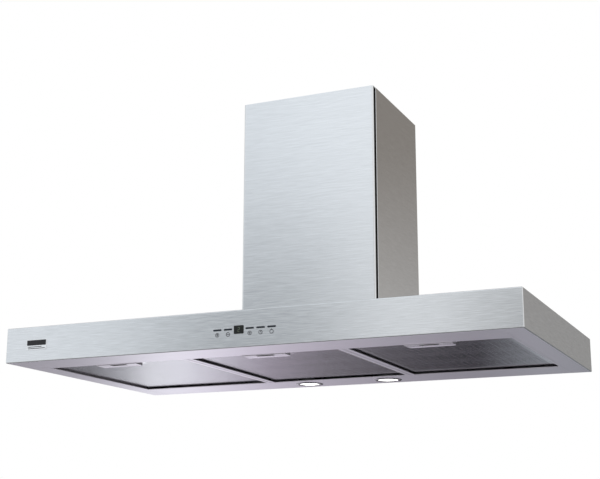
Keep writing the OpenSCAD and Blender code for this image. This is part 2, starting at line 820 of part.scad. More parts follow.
module cable_gland() color("black")
translate([terminal_x, terminal_y, airbox_top + terminal[2]]) difference() {
  union() {
    translate([0, 0, -3]) cylinder(r = gland_bore / 2 + 1, h = 4, $fn = 32);
    cylinder(r = gland_r, h = 5, $fn = 6);
    cylinder(r = gland_r - 2.5, h = gland_h);
  }
  translate([0, 0, -4]) cylinder(r = gland_bore / 2, h = gland_h + 5, $fn = 32);
}

// Leads from the controls, the motor and the lamps up to the terminal box
module internal_wiring() color("dimgray") {
  under_top = canopy_h - sheet_t - wire_r - 0.5;
  controls_back = front_y + sheet_t + housing_d;
  controls_lead_x = controls_x + 25;
  side_x = airbox_x - 20;
  run_y = airbox_front_y + 48;
  back_x = side_x - 12;
  back_y = throat_back_y - 12;
  high = airbox_top - 16;
  end_z = airbox_top + 4;
  lamp_lead_z = sheet_t + ballast[2] / 2;
  wire([
    [controls_lead_x, controls_back, key_z],
    [controls_lead_x, controls_back + 10, key_z],
    [controls_lead_x + 4, controls_back + 30, under_top],
    [side_x, airbox_front_y - 30, under_top],
    [side_x, run_y - 12, under_top],
    [side_x, run_y, canopy_h + 20],
    [side_x, run_y, high - 40],
    [terminal_x + 13, terminal_y, high],
    [terminal_x + 13, terminal_y, end_z]
  ]);
  wire([
    [motor_x1, airbox_y, scroll_z + motor_r - 14],
    [motor_x1 + 8, airbox_y, scroll_z + motor_r - 14],
    [motor_x1 + 14, airbox_y + 8, scroll_z + motor_r],
    [terminal_x, terminal_y, high - 30],
    [terminal_x, terminal_y, end_z]
  ]);
  for (side = [-1, 1])
    wire([
      [side * ballast[0] / 2, lamp_y, lamp_lead_z],
      [side * (lamp_x - can_r), lamp_y, lamp_lead_z]
    ]);
  wire([
    [0, lamp_y, sheet_t + ballast[2]],
    [0, lamp_y, sheet_t + ballast[2] + 8],
    [back_x, back_y, canopy_h - 12],
    [back_x, back_y, canopy_h + 12],
    [back_x, back_y, high - 40],
    [terminal_x - 13, terminal_y, high],
    [terminal_x - 13, terminal_y, end_z]
  ]);
}

// ---- Chimney cover -------------------------------------------------------------------------

module chimney_front_panel() color("gainsboro") {
  z = [canopy_h, cover_top];
  back = -cover_d + front_fold_d;
  block([-cover_x, cover_x], [-cover_d, -cover_d + sheet_t], z);
  for (side = [0, 1]) mirror([side, 0, 0]) {
    block([side_inner_x, cover_x], [-cover_d + sheet_t, back], z);
    block([cover_x - shadow_depth - 6, side_inner_x], [back - sheet_t, back], z);
  }
}

// Dark channels line the gaps between the front panel and the side panels
module gap_channels() color("dimgray") for (side = [0, 1]) mirror([side, 0, 0]) {
  x = cover_x - shadow_depth;
  edge_x = cover_x - channel_set_back;
  y0 = -cover_d + front_fold_d;
  z = [canopy_h, cover_top];
  block([x - sheet_t, x], [y0, side_front_y], z);
  block([x, edge_x], [y0, y0 + sheet_t], z);
  block([x, edge_x], [side_front_y - sheet_t, side_front_y], z);
}

module chimney_side(side) color("silver") mirror([side > 0 ? 0 : 1, 0, 0]) {
  z = [canopy_h, cover_top];
  block([side_inner_x, cover_x], [side_front_y, 0], z);
  block([cover_x - flange, side_inner_x], [side_front_y, side_front_y + sheet_t], z);
  block([cover_x - flange, side_inner_x], [-sheet_t, 0], z);
  // foot screwed down to the canopy
  difference() {
    block([side_inner_x - 9, side_inner_x], [side_front_y + 12, -20],
      [canopy_h, canopy_h + sheet_t]);
    chimney_screw_places() cylinder(r = screw_r, h = 4 * sheet_t, center = true, $fn = 24);
  }
}

module chimney_side_left() chimney_side(-1);
module chimney_side_right() chimney_side(1);

// Slides up out of the fixed cover, and rests inside it
module upper_chimney_cover() color("silver") {
  z = [upper_low, upper_high];
  block([-upper_x, upper_x], [upper_front_y, upper_front_y + sheet_t], z);
  for (side = [0, 1]) mirror([side, 0, 0]) {
    block([upper_x - sheet_t, upper_x], [upper_front_y + sheet_t, upper_back_y], z);
    block([upper_x - 12, upper_x - sheet_t], [upper_back_y - sheet_t, upper_back_y], z);
  }
}

module upper_cover_bracket() color("darkgray") difference() {
  z = [upper_high - bracket_h - 6, upper_high - 6];
  inner = upper_x - sheet_t;
  strip_x = cover_x - flange - 4;
  union() {
    block([-strip_x, strip_x], [-bracket_back_t, 0], z);
    block([-inner, inner], [-bracket_back_t - bracket_t, -bracket_back_t], z);
    for (side = [0, 1]) mirror([side, 0, 0])
      block([inner - bracket_t, inner], [-bracket_back_t - bracket_ear, -bracket_back_t], z);
  }
  for (side = [-1, 1])
    translate([side * bracket_hole_x / 2, 0, z[0] + bracket_h / 2]) rotate([90, 0, 0])
      cylinder(r = 3, h = 8 * bracket_t, center = true);
}

// ---- Screws --------------------------------------------------------------------------------

module canopy_screws() color("silver") canopy_screw_places()
  translate([0, 0, sheet_t]) screw(6);

module chimney_screws() color("silver") chimney_screw_places()
  translate([0, 0, -sheet_t]) mirror([0, 0, 1]) screw(4);

module bracket_screws() color("silver") translate([scroll_x, airbox_y, scroll_z])
  rotate([0, 90, 0]) bracket_screw_places() translate([0, 0, 2]) screw(2 + scroll_t);

canopy_shell();
front_rail();
side_rails();
lamp_panel();
divider_left();
divider_right();
badge_plate();
wall_mounting_plate();
control_housing();
control_board();
display_window();
display_module();
button_switches();
button_light();
button_speed_down();
button_speed_up();
button_timer();
button_power();
lamp_bezel_left();
lamp_bezel_right();
lamp_lenses();
lamp_cans();
lamp_bulbs();
lamp_transformer();
filter_frame_left();
filter_frame_centre();
filter_frame_right();
filter_grille_left();
filter_grille_centre();
filter_grille_right();
filter_mesh_left();
filter_mesh_centre();
filter_mesh_right();
filter_latch_left();
filter_latch_centre();
filter_latch_right();
airbox();
scroll_housing();
impeller();
motor_shaft();
motor();
motor_bracket();
run_capacitor();
outlet_collar();
damper_pin();
damper_flap_front();
damper_flap_rear();
terminal_box();
cable_gland();
internal_wiring();
chimney_front_panel();
chimney_side_left();
chimney_side_right();
gap_channels();
upper_chimney_cover();
upper_cover_bracket();
canopy_screws();
chimney_screws();
bracket_screws();
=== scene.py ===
import math

import bmesh
import bpy
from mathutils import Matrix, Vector


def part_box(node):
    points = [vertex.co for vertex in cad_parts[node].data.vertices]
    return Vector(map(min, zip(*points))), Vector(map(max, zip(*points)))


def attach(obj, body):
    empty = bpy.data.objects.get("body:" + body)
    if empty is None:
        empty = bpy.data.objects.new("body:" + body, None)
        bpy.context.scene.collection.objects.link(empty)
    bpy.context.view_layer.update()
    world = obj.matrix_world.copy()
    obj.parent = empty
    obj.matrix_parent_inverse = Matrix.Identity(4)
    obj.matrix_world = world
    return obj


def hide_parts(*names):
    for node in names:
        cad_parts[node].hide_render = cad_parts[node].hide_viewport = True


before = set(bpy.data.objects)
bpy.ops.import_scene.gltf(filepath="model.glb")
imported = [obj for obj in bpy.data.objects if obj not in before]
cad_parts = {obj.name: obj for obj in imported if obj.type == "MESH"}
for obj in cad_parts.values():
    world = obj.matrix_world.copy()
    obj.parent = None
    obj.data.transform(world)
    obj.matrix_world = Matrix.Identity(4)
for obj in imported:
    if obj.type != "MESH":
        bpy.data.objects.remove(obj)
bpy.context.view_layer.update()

# ---- Camera ---------------------------------------------------------------------------------
# It stands below the canopy, in front and to the right, and looks up at the filters through a
# long lens.
camera_data = bpy.data.cameras.new("camera")
camera_data.sensor_width = 36.0
camera_data.lens = 72.84
camera = bpy.data.objects.new("camera", camera_data)
camera.location = (0.8489, -2.1856, -0.2987)
camera.rotation_euler = (math.radians(104.08), math.radians(-0.1), math.radians(23.9))
bpy.context.scene.collection.objects.link(camera)
bpy.context.scene.camera = camera


# ---- Canopy ---------------------------------------------------------------------------------
# A shallow tray folded from 1.2 mm brushed stainless sheet. Its edges are folded under as a lip,
# its top is open to the blower, and its front has windows for the buttons and the display.
sheet = 0.0012


def new_block(name, low, high):
    """Adds a cube between two corners, with its place in its mesh."""
    bpy.ops.object.select_all(action="DESELECT")
    bpy.ops.mesh.primitive_cube_add(size=1, location=(Vector(low) + Vector(high)) / 2)
    block = bpy.context.object
    block.name = name
    block.scale = Vector(high) - Vector(low)
    bpy.ops.object.transform_apply(location=True, rotation=True, scale=True)
    return block


def pick_faces(wanted):
    """Selects the faces in edit mode whose middle and normal are wanted."""
    mesh = bpy.context.object.data
    bpy.ops.mesh.select_mode(type="FACE")
    bpy.ops.mesh.select_all(action="DESELECT")
    for face in bmesh.from_edit_mesh(mesh).faces:
        face.select_set(wanted(face.calc_center_median(), face.normal))
    bmesh.update_edit_mesh(mesh)


def pick_edges(wanted):
    """Selects the edges in edit mode whose two ends are wanted."""
    mesh = bpy.context.object.data
    bpy.ops.mesh.select_mode(type="EDGE")
    bpy.ops.mesh.select_all(action="DESELECT")
    for edge in bmesh.from_edit_mesh(mesh).edges:
        edge.select_set(wanted(edge.verts[0].co, edge.verts[1].co))
    bmesh.update_edit_mesh(mesh)


def cut_opening(facing, x_ends, y_ends):
    """Cuts a rectangular opening in the faces that look one way."""
    for x in x_ends:
        pick_faces(lambda middle, normal: normal.dot(facing) > 0.9)
        bpy.ops.mesh.bisect(plane_co=(x, 0, 0), plane_no=(1, 0, 0))
    for y in y_ends:
        pick_faces(lambda middle, normal: normal.dot(facing) > 0.9)
        bpy.ops.mesh.bisect(plane_co=(0, y, 0), plane_no=(0, 1, 0))
    pick_faces(lambda middle, normal: normal.dot(facing) > 0.9
               and x_ends[0] < middle.x < x_ends[1] and y_ends[0] < middle.y < y_ends[1])
    bpy.ops.mesh.delete(type="FACE")


def shape_with(piece, kind, **settings):
    """Adds a modifier to a piece and applies it."""
    bpy.context.view_layer.objects.active = piece
    step = piece.modifiers.new(kind.title(), kind)
    for setting, value in settings.items():
        setattr(step, setting, value)
    bpy.ops.object.modifier_apply(modifier=step.name)


def ease_edges(piece, width, segments=2, degrees=30):
    """Rounds a piece's sharp edges."""
    shape_with(piece, "BEVEL", width=width, segments=segments, limit_method="ANGLE",
               angle_limit=math.radians(degrees))


def smooth(piece, degrees=35):
    """Shades a piece's bends smooth, keeps its sharp edges, and leaves its flats flat."""
    bpy.ops.object.select_all(action="DESELECT")
    piece.select_set(True)
    bpy.context.view_layer.objects.active = piece
    bpy.ops.object.shade_smooth_by_angle(angle=math.radians(degrees))
    shape_with(piece, "WEIGHTED_NORMAL", weight=100, keep_sharp=True)


def rounded_bar(name, low, high, radius, axis):
    """A block whose four edges along one axis (0, 1 or 2) are rounded."""
    bar = new_block(name, low, high)
    bpy.ops.object.mode_set(mode="EDIT")
    pick_edges(lambda start, end: abs((end - start).normalized()[axis]) > 0.9)
    bpy.ops.mesh.bevel(offset=radius, segments=5, affect="EDGES")
    bpy.ops.object.mode_set(mode="OBJECT")
    return bar


def join(pieces, name):
    """Joins several pieces into one."""
    bpy.ops.object.select_all(action="DESELECT")
    for piece in pieces:
        piece.select_set(True)
    bpy.context.view_layer.objects.active = pieces[0]
    bpy.ops.object.join()
    pieces[0].name = name
    return pieces[0]


def cut_out(piece, cutter):
    """Cuts one closed piece out of another, and removes it."""
    shape_with(piece, "BOOLEAN", object=cutter, operation="DIFFERENCE", solver="EXACT")
    bpy.data.objects.remove(cutter)


def fit(piece, material, body, slot, *cad_nodes):
    """Gives a finished piece its material and its body, and hides the nodes that it stands for; its
    slot is not used.
    """
    piece.data.materials.clear()
    piece.data.materials.append(material)
    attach(piece, body)
    if cad_nodes:
        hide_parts(*cad_nodes)


low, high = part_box("canopy_shell")
throat_low, throat_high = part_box("airbox")
airbox_flange = 0.012
lip = 0.033
lip_x = high.x - lip
lip_y = low.y + lip
front_y = low.y
tray_bend = 0.0016
canopy = new_block("canopy", low, high)
bpy.ops.object.mode_set(mode="EDIT")
cut_opening(Vector((0, 0, -1)), (-lip_x, lip_x), (lip_y, high.y))
cut_opening(Vector((0, 0, 1)), (throat_low.x + airbox_flange, throat_high.x - airbox_flange),
            (throat_low.y + airbox_flange, throat_high.y - airbox_flange))
bpy.ops.object.mode_set(mode="OBJECT")
ease_edges(canopy, tray_bend, segments=4)
shape_with(canopy, "SOLIDIFY", thickness=sheet, offset=-1, use_even_offset=True)

button_names = ("light", "speed_down", "speed_up", "timer", "power")
key_gap = 0.0003
key_flange = 0.0012
window_lip = 0.0009


def window_cutter(node, edge, corner):
    """A bar that cuts a window through the tray's front, inside a node's outline by an edge."""
    low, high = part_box(node)
    ahead = front_y - 0.001
    behind = front_y + 0.003
    return rounded_bar("window", (low.x + edge, ahead, low.z + edge),
                       (high.x - edge, behind, high.z - edge), corner, 1)


windows = [window_cutter("button_" + name, key_flange - key_gap, 0.0013) for name in button_names]
windows.append(window_cutter("display_window", window_lip, 0.0016))
cut_out(canopy, join(windows, "windows"))
smooth(canopy)


def place(tree, kind, inputs=None, **settings):
    """Adds a shader node, makes its settings, and sets or links its inputs."""
    made = tree.nodes.new("ShaderNode" + kind)
    for setting, value in settings.items():
        setattr(made, setting, value)
    for socket, value in (inputs or {}).items():
        if isinstance(value, bpy.types.NodeSocket):
            tree.links.new(value, made.inputs[socket])
        else:
            made.inputs[socket].default_value = value
    return made


def maths(tree, operation, *values):
    """A Math node, as its output."""
    return place(tree, "Math", dict(enumerate(values)), operation=operation).outputs[0]


def noise(tree, scale, detail):
    """Soft noise all over a piece, from 0 to 1, as its output."""
    where = place(tree, "TexCoord")
    return place(tree, "TexNoise", {
        "Vector": where.outputs["Object"], "Scale": scale, "Detail": detail}).outputs["Fac"]


def new_effect(name, inputs, outputs):
    """Starts a node group with named inputs and outputs, and returns it with its two end nodes."""
    effect = bpy.data.node_groups.new(name, "ShaderNodeTree")
    for direction, sockets in (("INPUT", inputs), ("OUTPUT", outputs)):
        for socket, kind in sockets.items():
            effect.interface.new_socket(socket, in_out=direction, socket_type="NodeSocket" + kind)
    return effect, effect.nodes.new("NodeGroupInput"), effect.nodes.new("NodeGroupOutput")


# Brushing: long fine scratches, across X on most faces and along Y on faces that look sideways
brushing, given, result = new_effect(
    "brushing", {"Colour": "Color", "Depth": "Float", "Roughness": "Float"},
    {"Colour": "Color", "Roughness": "Float", "Height": "Float"})
where = place(brushing, "TexCoord")
axes = place(brushing, "SeparateXYZ", {0: where.outputs["Object"]})
looks = place(brushing, "SeparateXYZ", {0: where.outputs["Normal"]})
sideways = maths(brushing, "GREATER_THAN", maths(brushing, "ABSOLUTE", looks.outputs["X"]), 0.7)
scratches = []
for length_scale, width_scale in ((30, 1800), (32, 660), (1.5, 60)):
    long_x = place(brushing, "CombineXYZ", {
        "X": maths(brushing, "MULTIPLY", axes.outputs["X"], length_scale),
        "Y": maths(brushing, "MULTIPLY", axes.outputs["Y"], width_scale),
        "Z": maths(brushing, "MULTIPLY", axes.outputs["Z"], width_scale)})
    long_y = place(brushing, "CombineXYZ", {
        "X": maths(brushing, "MULTIPLY", axes.outputs["X"], width_scale),
        "Y": maths(brushing, "MULTIPLY", axes.outputs["Y"], length_scale),
        "Z": maths(brushing, "MULTIPLY", axes.outputs["Z"], width_scale)})
    grain_way = place(brushing, "Mix", {
        0: sideways, 4: long_x.outputs[0], 5: long_y.outputs[0]}, data_type="VECTOR")
    scratch = place(brushing, "TexNoise", {
        "Vector": grain_way.outputs[1], "Scale": 1.0, "Detail": 2.0, "Roughness": 0.6})
    scratches.append(maths(brushing, "SUBTRACT", scratch.outputs["Fac"], 0.5))
fine, medium, broad = scratches
depth = given.outputs["Depth"]
streaks = maths(brushing, "MULTIPLY_ADD", broad, 0.08, medium)
shade = maths(brushing, "MULTIPLY_ADD", streaks, depth, 1.0)
brushed_colour = place(brushing, "VectorMath", {
    0: given.outputs["Colour"], "Scale": shade}, operation="SCALE")
brushing.links.new(brushed_colour.outputs[0], result.inputs["Colour"])
uneven = maths(brushing, "MULTIPLY_ADD", medium, 0.08, given.outputs["Roughness"])
brushing.links.new(maths(brushing, "MULTIPLY_ADD", broad, 0.02, uneven), result.inputs["Roughness"])
relief = maths(brushing, "MULTIPLY_ADD", medium, 0.06, fine)
brushing.links.new(relief, result.inputs["Height"])

# Edge wear: a mask that is 1 on edges, where handling polishes the metal, and 0 on flats
edge_wear, given, result = new_effect(
    "edge_wear", {"Width": "Float", "Amount": "Float"}, {"Mask": "Float"})
rounded = place(edge_wear, "Bevel", {"Radius": given.outputs["Width"]}, samples=3)
surface = place(edge_wear, "NewGeometry")
flatness = place(edge_wear, "VectorMath", {
    0: rounded.outputs[0], 1: surface.outputs["Normal"]}, operation="DOT_PRODUCT")
turned = maths(edge_wear, "MULTIPLY", maths(edge_wear, "SUBTRACT", 1.0, flatness.outputs["Value"]), 6.0)
patches = maths(edge_wear, "ADD", noise(edge_wear, 60.0, 3.0), 0.3)
broken = maths(edge_wear, "MULTIPLY", turned, patches)
worn = place(edge_wear, "Math", {
    0: broken, 1: given.outputs["Amount"]}, operation="MULTIPLY", use_clamp=True)
edge_wear.links.new(worn.outputs[0], result.inputs["Mask"])


def new_finish(name):
    """Starts a material, and returns it with its node tree and its shader."""
    material = bpy.data.materials.new(name)
    material.use_nodes = True
    tree = material.node_tree
    return material, tree, tree.nodes["Principled BSDF"]


def tinted(colour, factor, lift=0.0):
    """A colour made lighter or darker."""
    return (*(min(1.0, part * factor + lift) for part in colour), 1)


def worn_edges(tree, surface, rubbed, width, amount):
    """Mixes a rubbed colour into a surface's colour, on its edges only."""
    edge = place(tree, "Group", {"Width": width, "Amount": amount}, node_tree=edge_wear)
    return place(tree, "Mix", {
        0: edge.outputs["Mask"], 6: surface, 7: rubbed}, data_type="RGBA").outputs[2]


def add_relief(tree, shader, height, strength, distance):
    """Gives a shader a bump from a height."""
    bump = place(tree, "Bump", {"Strength": strength, "Distance": distance, "Height": height})
    tree.links.new(bump.outputs[0], shader.inputs["Normal"])


def brushed_steel(name, colour, roughness, depth, polish, relief=0.12):
    """Brushed sheet metal whose edges are polished brighter by handling."""
    material, tree, shader = new_finish(name)
    shader.inputs["Metallic"].default_value = 1.0
    grain = place(tree, "Group", {
        "Colour": (*colour, 1), "Depth": depth, "Roughness": roughness}, node_tree=brushing)
    surface = worn_edges(tree, grain.outputs["Colour"], tinted(colour, 1.18), 0.0009, polish)
    tree.links.new(surface, shader.inputs["Base Color"])
    tree.links.new(grain.outputs["Roughness"], shader.inputs["Roughness"])
    add_relief(tree, shader, grain.outputs["Height"], relief, 0.0002)
    return material


canopy_steel = brushed_steel(
    "canopy_steel", (0.80, 0.815, 0.83), roughness=0.16, depth=0.36, polish=0.8)
fit(canopy, canopy_steel, "hood", "canopy_steel", "canopy_shell")


# ---- Underside rails ------------------------------------------------------------------------
# Strips of the same sheet close the tray's underside round the filters: a front rail, two side
# rails, a lamp panel behind and two grooved dividers. Their cut edges are only eased.
def eased_copy(node, width):
    """Copies a node's shape, merges its loose triangles into flat faces and eases its edges."""
    bpy.ops.object.select_all(action="DESELECT")
    copy = bpy.data.objects.new(node + "_eased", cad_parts[node].data.copy())
    bpy.context.scene.collection.objects.link(copy)
    bpy.context.view_layer.objects.active = copy
    copy.select_set(True)
    bpy.ops.object.mode_set(mode="EDIT")
    bpy.ops.mesh.select_all(action="SELECT")
    bpy.ops.mesh.remove_doubles(threshold=0.00001)
    bpy.ops.mesh.dissolve_limited(angle_limit=math.radians(0.5))
    bpy.ops.object.mode_set(mode="OBJECT")
    ease_edges(copy, width, degrees=40)
    smooth(copy)
    return copy


# Its darker lilac colour is painted shade and painted reflected light from below; its rougher finish is
# the metal's own
underside_steel = brushed_steel(
    "underside_steel", (0.76, 0.73, 0.78), roughness=0.30, depth=0.15, polish=0.5, relief=0.06)
cut_edge = 0.0003
for rail in ("front_rail", "side_rails", "lamp_panel", "divider_left", "divider_right"):
    fit(eased_copy(rail, cut_edge), underside_steel, "hood", "underside_steel", rail)


def finish_faces(piece, material, wanted):
    """Gives some of a piece's faces a second finish."""
    piece.data.materials.append(material)
    for face in piece.data.polygons:
        if wanted(face.center, face.normal):
            face.material_index = len(piece.data.materials) - 1


# The tray's lip is ground like the rails, not polished like its front, and takes their darker lilac
# colour, which is painted shade and painted reflected light
finish_faces(canopy, underside_steel, lambda middle, normal: middle.z < sheet and normal.z < -0.99)


# ---- Badge ----------------------------------------------------------------------------------
# A small plain plate stuck to the left of the canopy's front: a bright rim, a black enamel
# field, and two thin enamel strips below it.
low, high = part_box("badge_plate")
rim = 0.0011
field_sunk = 0.0003
field_z = low.z + 0.42 * (high.z - low.z)
inlay_back = low.y + 0.0005
badge = rounded_bar("badge", low, high, 0.0022, 1)
bpy.ops.object.mode_set(mode="EDIT")
pick_faces(lambda middle, normal: normal.y < -0.9)
bpy.ops.mesh.inset(thickness=rim)
bpy.ops.mesh.extrude_region_move(TRANSFORM_OT_translate={"value": (0, field_sunk, 0)})
bpy.ops.object.mode_set(mode="OBJECT")
ease_edges(badge, 0.00015)
smooth(badge)
enamel = rounded_bar("badge_enamel", (low.x + 1.3 * rim, low.y + 0.00012, field_z),
                     (high.x - 1.3 * rim, inlay_back, high.z - 1.3 * rim), 0.0012, 1)
ease_edges(enamel, 0.0001)
smooth(enamel)
badge_strips = []
strip_h = 0.0012
strip_front = low.y + 0.00015
for row in range(2):
    strip_z = low.z + 1.6 * rim + row * 2.2 * strip_h
    badge_strips.append(rounded_bar(
        "badge_strip", (low.x + 3 * rim, strip_front, strip_z),
        (high.x - (3 + 6 * row) * rim, inlay_back, strip_z + strip_h), 0.0004, 1))
strips = join(badge_strips, "badge_strips")


def gloss(name, colour, roughness, speckle, coat=0.0):
    """Glossy moulded or enamelled finish with a faint orange-peel and a few dull patches."""
    material, tree, shader = new_finish(name)
    shader.inputs["Coat Weight"].default_value = coat
    shader.inputs["Coat Roughness"].default_value = 0.06
    patches = noise(tree, 45.0, 4.0)
    dull = place(tree, "MapRange", {
        "Value": patches, "From Min": 0.35, "From Max": 0.7,
        "To Min": roughness, "To Max": roughness + 0.14})
    tree.links.new(dull.outputs[0], shader.inputs["Roughness"])
    tone = place(tree, "Mix", {
        0: patches, 6: (*colour, 1), 7: tinted(colour, 1.25, speckle)}, data_type="RGBA")
    surface = worn_edges(tree, tone.outputs[2], tinted(colour, 1.5, 0.03), 0.0008, 0.5)
    tree.links.new(surface, shader.inputs["Base Color"])
    add_relief(tree, shader, noise(tree, 900.0, 2.0), 0.15, 0.0001)
    return material


badge_metal = brushed_steel(
    "badge_metal", (0.86, 0.87, 0.88), roughness=0.16, depth=0.15, polish=1.0)
black_enamel = gloss("black_enamel", (0.004, 0.004, 0.006), roughness=0.2, speckle=0.002)
fit(badge, badge_metal, "hood", "badge_metal", "badge_plate")
fit(enamel, black_enamel, "hood", "badge_metal")
fit(strips, black_enamel, "hood", "badge_metal")


# ---- Buttons --------------------------------------------------------------------------------
# Five slim bars of dark metal stand in the front face. Each has a flange behind the sheet that
# keeps it in, and a stem that reaches back to its switch. One is modelled, and four are copies.
def set_apart(piece, name, shift):
    """Copies a piece with its own mesh, and moves the copy's mesh sideways."""
    copy = piece.copy()
    copy.data = piece.data.copy()
    copy.name = name
    bpy.context.scene.collection.objects.link(copy)
    bpy.ops.object.select_all(action="DESELECT")
    copy.select_set(True)
    bpy.context.view_layer.objects.active = copy
    copy.location.x = shift
    bpy.ops.object.transform_apply(location=True, rotation=False, scale=False)
    return copy


low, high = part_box("button_light")
flange_front = front_y + sheet + 0.0002
flange_t = 0.0012
stem_half = 0.0015
button = new_block("button_light_bar", (low.x, flange_front, low.z),
                   (high.x, flange_front + flange_t, high.z))
bpy.ops.object.mode_set(mode="EDIT")
pick_faces(lambda middle, normal: normal.y < -0.9)
bpy.ops.mesh.inset(thickness=key_flange)
bpy.ops.mesh.extrude_region_move(TRANSFORM_OT_translate={"value": (0, low.y - flange_front, 0)})
pick_faces(lambda middle, normal: normal.y > 0.9)
bpy.ops.mesh.inset(thickness=(high.z - low.z) / 2 - stem_half)
bpy.ops.transform.resize(
    value=(2 * stem_half / (high.x - low.x - (high.z - low.z) + 2 * stem_half), 1, 1),
    center_override=((low.x + high.x) / 2, 0, 0))
bpy.ops.mesh.extrude_region_move(
    TRANSFORM_OT_translate={"value": (0, high.y - flange_front - flange_t, 0)})
key_face = low.y + 0.0001
pick_edges(lambda start, end: min(start.y, end.y) < key_face and max(start.y, end.y) > key_face)
bpy.ops.mesh.bevel(offset=0.001, segments=4, affect="EDGES")
pick_edges(lambda start, end: max(start.y, end.y) < key_face)
bpy.ops.mesh.bevel(offset=0.0003, segments=3, affect="EDGES")
bpy.ops.object.mode_set(mode="OBJECT")
smooth(button)
key_metal = brushed_steel("key_metal", (0.045, 0.05, 0.06), roughness=0.3, depth=0.2, polish=1.5)
keys = {"button_light": button}
for name in button_names[1:]:
    node = "button_" + name
    keys[node] = set_apart(button, node + "_bar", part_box(node)[0].x - low.x)
for node, key in keys.items():
    fit(key, key_metal, node, "key_metal", node)


# ---- Printed signs --------------------------------------------------------------------------
# A ring with a simple sign is printed in dark ink below each button: a lamp, a minus, a plus,
# the hands of a clock, and a stroke through the ring's top for power.
ink_t = 0.00008
ring_r = 0.0035
line_w = 0.001
bar_half = 0.0019
stroke_half = 0.0012
sign_drop = 0.0078


def printed_line(x, z, half_w, half_h):
    """A short printed line on the front face, about a middle point."""
    return new_block("line", (x - half_w, front_y - ink_t, z - half_h),
                     (x + half_w, front_y + ink_t, z + half_h))


def printed_disc(x, z, radius, hole):
    """A printed disc, or a ring where it has a hole."""
    bpy.ops.object.select_all(action="DESELECT")
    bpy.ops.mesh.primitive_circle_add(
        vertices=32, radius=radius, fill_type="NGON", location=(x, front_y + ink_t, z),
        rotation=(math.radians(90), 0, 0))
    disc = bpy.context.object
    bpy.ops.object.transform_apply(location=True, rotation=True, scale=True)
    bpy.ops.object.mode_set(mode="EDIT")
    if hole:
        bpy.ops.mesh.inset(thickness=radius - hole)
        bpy.ops.mesh.delete(type="FACE")
        bpy.ops.mesh.select_all(action="SELECT")
    bpy.ops.mesh.extrude_region_move(TRANSFORM_OT_translate={"value": (0, -2 * ink_t, 0)})
    bpy.ops.mesh.select_all(action="SELECT")
    bpy.ops.mesh.normals_make_consistent(inside=False)
    bpy.ops.object.mode_set(mode="OBJECT")
    return disc


marks = []
for name in button_names:
    low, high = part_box("button_" + name)
    x = (low.x + high.x) / 2
    z = (low.z + high.z) / 2 - sign_drop
    marks.append(printed_disc(x, z, ring_r, ring_r - line_w))
    if name == "light":
        marks.append(printed_disc(x, z + 0.0006, 0.0014, 0))
        marks.append(printed_line(x, z - 0.0012, 0.0008, line_w / 2))
    if name in ("speed_down", "speed_up"):
        marks.append(printed_line(x, z, bar_half, line_w / 2))
    if name == "speed_up":
        marks.append(printed_line(x, z, line_w / 2, bar_half))
    if name == "timer":
        marks.append(printed_line(x, z + 0.001, line_w / 2, stroke_half))
        marks.append(printed_line(x + 0.0008, z, 0.001, line_w / 2))
    if name == "power":
        marks.append(printed_line(x, z + ring_r, line_w / 2, stroke_half))
signs = join(marks, "button_signs")
dark_ink = gloss("dark_ink", (0.035, 0.037, 0.042), roughness=0.5, speckle=0.01)
fit(signs, dark_ink, "hood", "display_glass")


# ---- Display --------------------------------------------------------------------------------
# A window of black tinted glass with rounded corners, pushed out through the sheet and held by
# a lip behind it. A seven-bar figure shows the speed.
low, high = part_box("display_window")
glass = rounded_bar("display_glass", (low.x + window_lip, low.y, low.z + window_lip),
                    (high.x - window_lip, front_y + sheet, high.z - window_lip), 0.0015, 1)
bpy.ops.object.mode_set(mode="EDIT")
pick_faces(lambda middle, normal: normal.y < -0.9)
bpy.ops.mesh.inset(thickness=0.0005)
bpy.ops.mesh.extrude_region_move(TRANSFORM_OT_translate={"value": (0, -0.00005, 0)})
bpy.ops.object.mode_set(mode="OBJECT")
holding_lip = rounded_bar("holding_lip", (low.x, front_y + sheet, low.z), high, 0.0012, 1)
glass = join([glass, holding_lip], "display_glass")
smooth(glass)
display_glass = gloss("display_glass", (0.008, 0.010, 0.008), roughness=0.08, speckle=0.001)
fit(glass, display_glass, "hood", "display_glass", "display_window")

figure_w = 0.0030
figure_h = 0.0034
bar_w = 0.0007
middle = (low + high) / 2
bars = []
for across, x, z in (
        (True, 0, figure_h), (True, 0, 0), (True, 0, -figure_h),
        (False, figure_w / 2, figure_h / 2), (False, -figure_w / 2, -figure_h / 2)):
    half_x = figure_w / 2 - bar_w * 0.3 if across else bar_w / 2
    half_z = bar_w / 2 if across else figure_h / 2 - bar_w * 0.3
    bars.append(rounded_bar(
        "bar", (middle.x + x - half_x, low.y - 0.00007, middle.z + z - half_z),
        (middle.x + x + half_x, low.y + 0.0001, middle.z + z + half_z), bar_w * 0.3, 1))
figure = join(bars, "display_figure")
smooth(figure)


def lit(name, colour, strength, cells):
    """A lit surface, a little uneven in small cells like moulded or printed light guides."""
    material, tree, shader = new_finish(name)
    shader.inputs["Roughness"].default_value = 0.25
    shader.inputs["Emission Strength"].default_value = strength
    where = place(tree, "TexCoord")
    facets = place(tree, "TexVoronoi", {"Vector": where.outputs["Object"], "Scale": cells})
    glow = place(tree, "Mix", {
        0: facets.outputs["Distance"], 6: (*colour, 1), 7: tinted(colour, 0.72)},
        data_type="RGBA")
    tree.links.new(glow.outputs[2], shader.inputs["Base Color"])
    tree.links.new(glow.outputs[2], shader.inputs["Emission Color"])
    return material


figure_light = lit("figure_light", (0.13, 0.16, 0.11), strength=0.2, cells=900.0)
fit(figure, figure_light, "hood", "display_glass")


